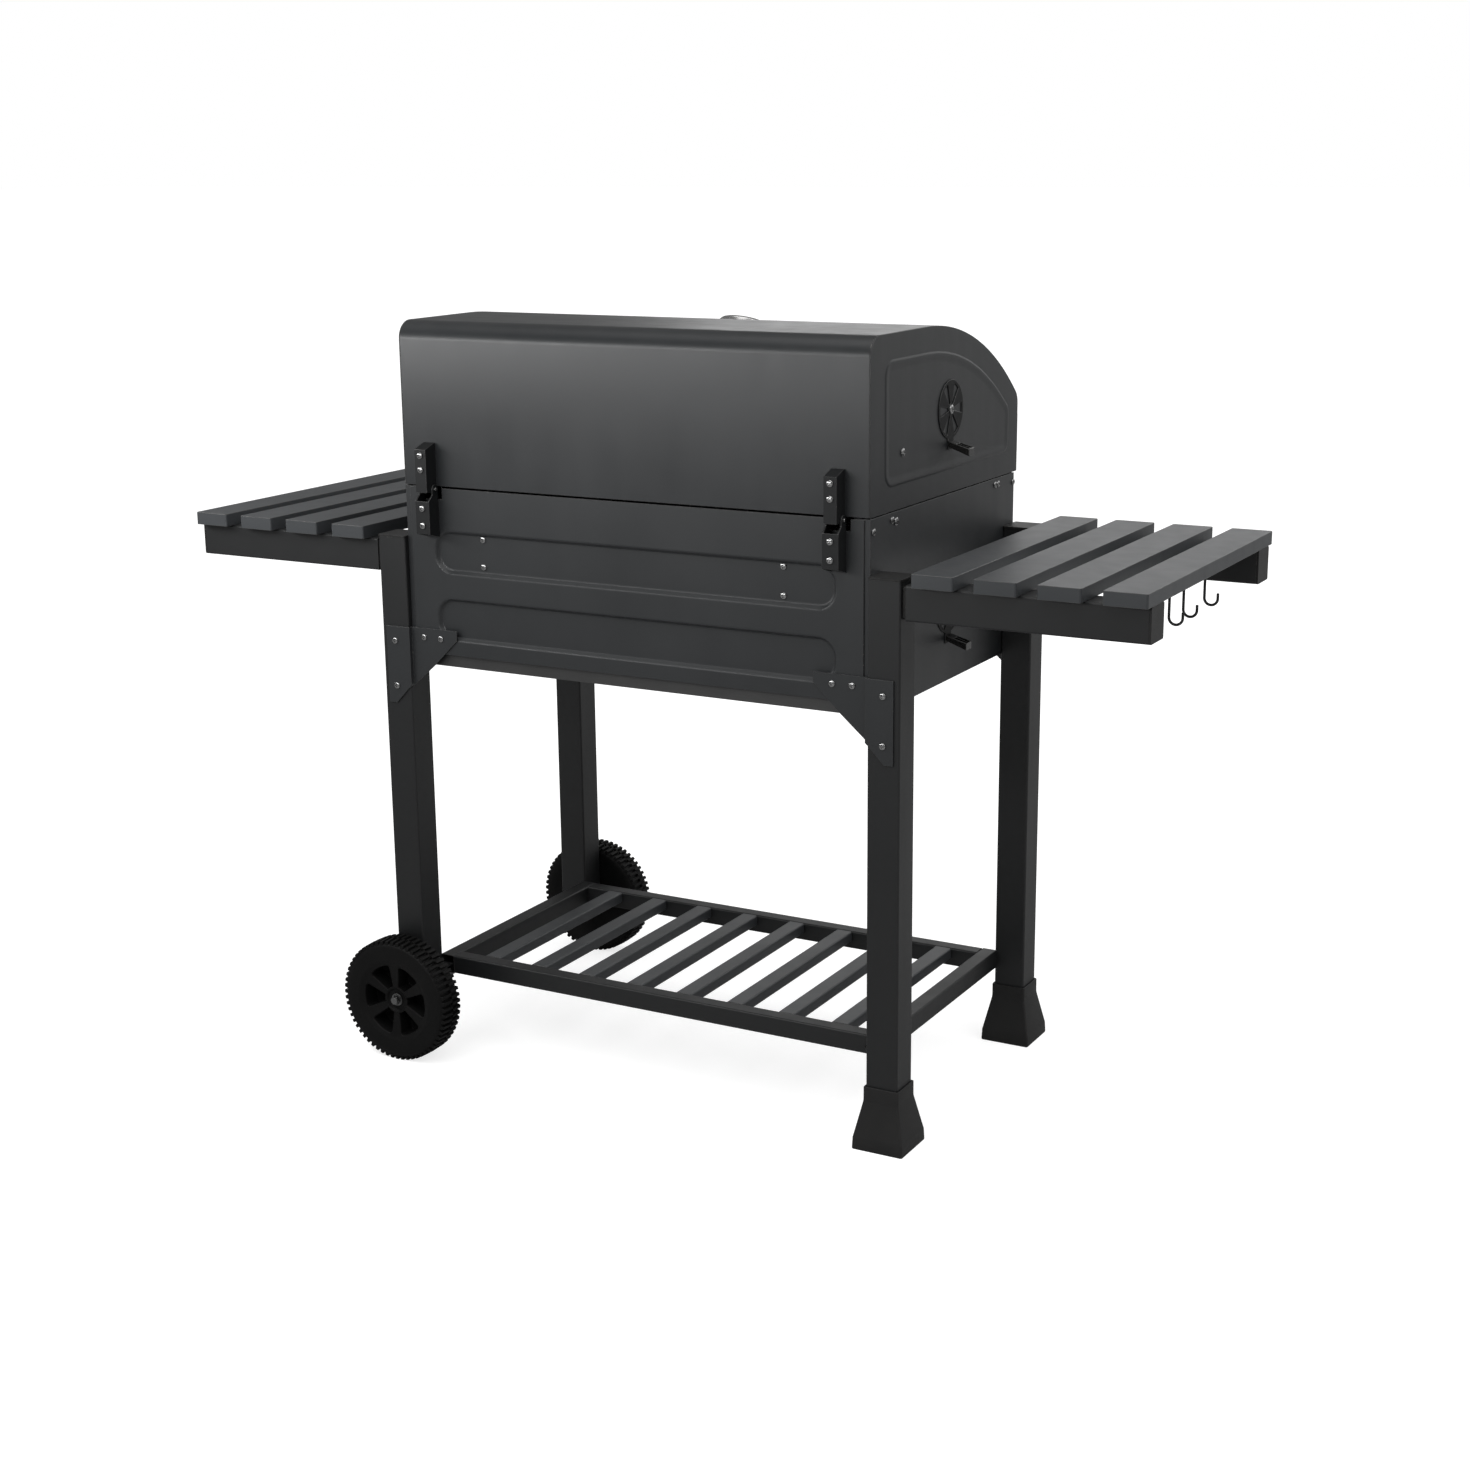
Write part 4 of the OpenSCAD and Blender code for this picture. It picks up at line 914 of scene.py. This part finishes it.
# %% Heat gauge
GAUGE_SLOPE = math.radians(20)
DIAL_START, DIAL_END = 225, -45
DIAL_MARKS, MARKS_PER_NUMBER, NUMBER_STEP = 29, 4, 50
MARK_R, NUMBER_R, NUMBER_SIZE = 29.5, 21.5, 5.2
LONG_MARK, SHORT_MARK = (3.6, 0.7), (2.0, 0.35)
PRINT_THICK = 0.2
NEEDLE_AT, NEEDLE_L, NEEDLE_TAIL, NEEDLE_HALF = 190, 26, 8, 1.6
NEEDLE_LOW, NEEDLE_HIGH = 0.9, 1.4
BOSS = [(0, -0.2), (2.6, -0.2), (2.6, 1.6), (1.8, 2.2), (0, 2.3)]
BOSS_STEPS = 24


def dial_place():
    """Matrix from the dial's own millimetres, face up, to its top face on the sloping roof."""
    low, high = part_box("gauge_dial")
    tilt = Matrix.Rotation(GAUGE_SLOPE, 4, "X")
    rise = math.tan(GAUGE_SLOPE)
    upright = (high.z - low.z) - (high.y - low.y) * rise
    thick = upright / (math.cos(GAUGE_SLOPE) * (1 - rise ** 2))
    return local_mm((low + high) / 2 + tilt @ Vector((0, 0, thick / 2)), tilt)


def dial_angle(share):
    return DIAL_START + (DIAL_END - DIAL_START) * share


def polar(radius, degrees):
    angle = math.radians(degrees)
    return Vector((radius * math.cos(angle), radius * math.sin(angle), 0))


def dial_mark(bm, share, length, width):
    angle = dial_angle(share)
    outward, across = polar(1, angle), polar(1, angle + 90)
    corners = [(MARK_R, -1), (MARK_R, 1), (MARK_R - length, 1), (MARK_R - length, -1)]
    outline = [(outward * r + across * side * width / 2).to_2d() for r, side in corners]
    stack(bm, [(-PRINT_THICK, outline), (PRINT_THICK, outline)], dial_place())


def dial_number(bm, share, number):
    curve = bpy.data.curves.new("number", "FONT")
    curve.body, curve.size, curve.extrude = str(number), NUMBER_SIZE, PRINT_THICK
    curve.align_x, curve.align_y = "CENTER", "CENTER"
    text = bpy.data.objects.new("number", curve)
    bpy.context.scene.collection.objects.link(text)
    bpy.context.view_layer.update()
    mesh = bpy.data.meshes.new_from_object(text.evaluated_get(bpy.context.evaluated_depsgraph_get()))
    mesh.transform(dial_place() @ Matrix.Translation(polar(NUMBER_R, dial_angle(share))))
    bm.from_mesh(mesh)
    bpy.data.objects.remove(text)


bm = bmesh.new()
for i in range(DIAL_MARKS):
    long = i % MARKS_PER_NUMBER == 0
    share = i / (DIAL_MARKS - 1)
    dial_mark(bm, share, *(LONG_MARK if long else SHORT_MARK))
    if long:
        dial_number(bm, share, i // MARKS_PER_NUMBER * NUMBER_STEP)
new_piece("gauge_marks", bm, "lid", "black_plastic")

bm = bmesh.new()
place = dial_place()
corners = [(NEEDLE_L, 0), (NEEDLE_HALF, 90), (NEEDLE_TAIL, 180), (NEEDLE_HALF, -90)]
needle = [polar(radius, NEEDLE_AT + turn).to_2d() for radius, turn in corners]
stack(bm, [(NEEDLE_LOW, needle), (NEEDLE_HIGH, needle)], place)
turned(bm, BOSS, place, BOSS_STEPS)
new_piece("gauge_needle", bm, "lid", "black_plastic")
print("gauge has", DIAL_MARKS, "marks, top face at", round(place.translation.z, 4))

# %% [markdown]
# ## Floor and world
# A studio has a pale floor that runs on without an edge, and pale walls far behind. A floor that
# looks white would also throw too much light up into the black steel from below. So it is grey paint
# with a glow that only a direct look sees, as on a light table, and the world does the same.

# %% Floor and world
FLOOR_PAINT, FLOOR_GLOW = 0.45, 0.74
WORLD_SHOWN, WORLD_LIGHT = 1.0, 0.24


def shown_or_bounced(tree, shown, bounced):
    """A number that is one value where it is looked at directly, and another in bounced light."""
    path = tree.nodes.new("ShaderNodeLightPath")
    blend = tree.nodes.new("ShaderNodeMapRange")
    tree.links.new(path.outputs["Is Camera Ray"], blend.inputs["Value"])
    blend.inputs["To Min"].default_value = bounced
    blend.inputs["To Max"].default_value = shown
    return blend.outputs["Result"]


def floor_finish():
    finish = Finish("floor")
    mottle = FLOOR_PAINT * (0.97 + 0.06 * finish.noise(2, 2))
    paint = finish.node("ShaderNodeCombineColor", {}, {0: mottle, 1: mottle, 2: mottle})
    level = Value(finish, shown_or_bounced(finish.tree, FLOOR_GLOW, 0))
    glow = finish.node("ShaderNodeCombineColor", {}, {0: level, 1: level, 2: level})
    finish.surface(Base_Color=paint, Emission_Color=glow, Emission_Strength=1.0)
    finish.surface(Roughness=0.9, Specular_IOR_Level=0.0)
    return finish.material


bm = bmesh.new()
bmesh.ops.create_grid(bm, x_segments=8, y_segments=8, size=60)
floor_mesh = bpy.data.meshes.new("floor")
bm.to_mesh(floor_mesh)
bm.free()
floor = bpy.data.objects.new("floor", floor_mesh)
floor.data.materials.append(floor_finish())
bpy.context.scene.collection.objects.link(floor)

world = bpy.data.worlds.new("studio")
world.use_nodes = True
background = world.node_tree.nodes["Background"]
background.inputs["Color"].default_value = (1, 1, 1, 1)
strength = shown_or_bounced(world.node_tree, WORLD_SHOWN, WORLD_LIGHT)
world.node_tree.links.new(strength, background.inputs["Strength"])
bpy.context.scene.world = world
bpy.context.scene.view_settings.view_transform = "Standard"
print("floor bounces", FLOOR_PAINT, "of its light")

# %% [markdown]
# ## Lamps
# One wide soft sun stands for the studio's ceiling and keeps the steel readable. Three rectangles do what
# soft boxes do: a strip behind draws the lid's gradient, a long box lights the front, and a small
# one at the left picks out the ends. None of them is seen itself.

# %% Lamps
def lamp(name, kind, energy, place, target, **settings):
    data = bpy.data.lights.new(name, kind)
    data.energy = energy
    for key, value in settings.items():
        setattr(data, key, value)
    made = bpy.data.objects.new(name, data)
    made.location = place
    made.rotation_euler = (Vector(target) - Vector(place)).to_track_quat("-Z", "Y").to_euler()
    made.visible_camera = False
    bpy.context.scene.collection.objects.link(made)
    return made


def soft_box(name, energy, place, target, width, height):
    return lamp(name, "AREA", energy, place, target, shape="RECTANGLE", size=width, size_y=height)


lamp("sky", "SUN", 2.5, (-0.8, 1.2, 4.0), (0, 0, 0), angle=math.radians(80))
soft_box("rear_strip", 13, (0.6, 1.05, 1.16), (0.1, 0.3, 1.12), 2.2, 0.15)
soft_box("front_box", 68, (-0.8, -4.5, 2.2), (0, 0, 1.0), 8.0, 1.8)
soft_box("left_box", 24, (-4.0, 0.2, 2.5), (-0.4, 0, 0.4), 2.6, 1.0)
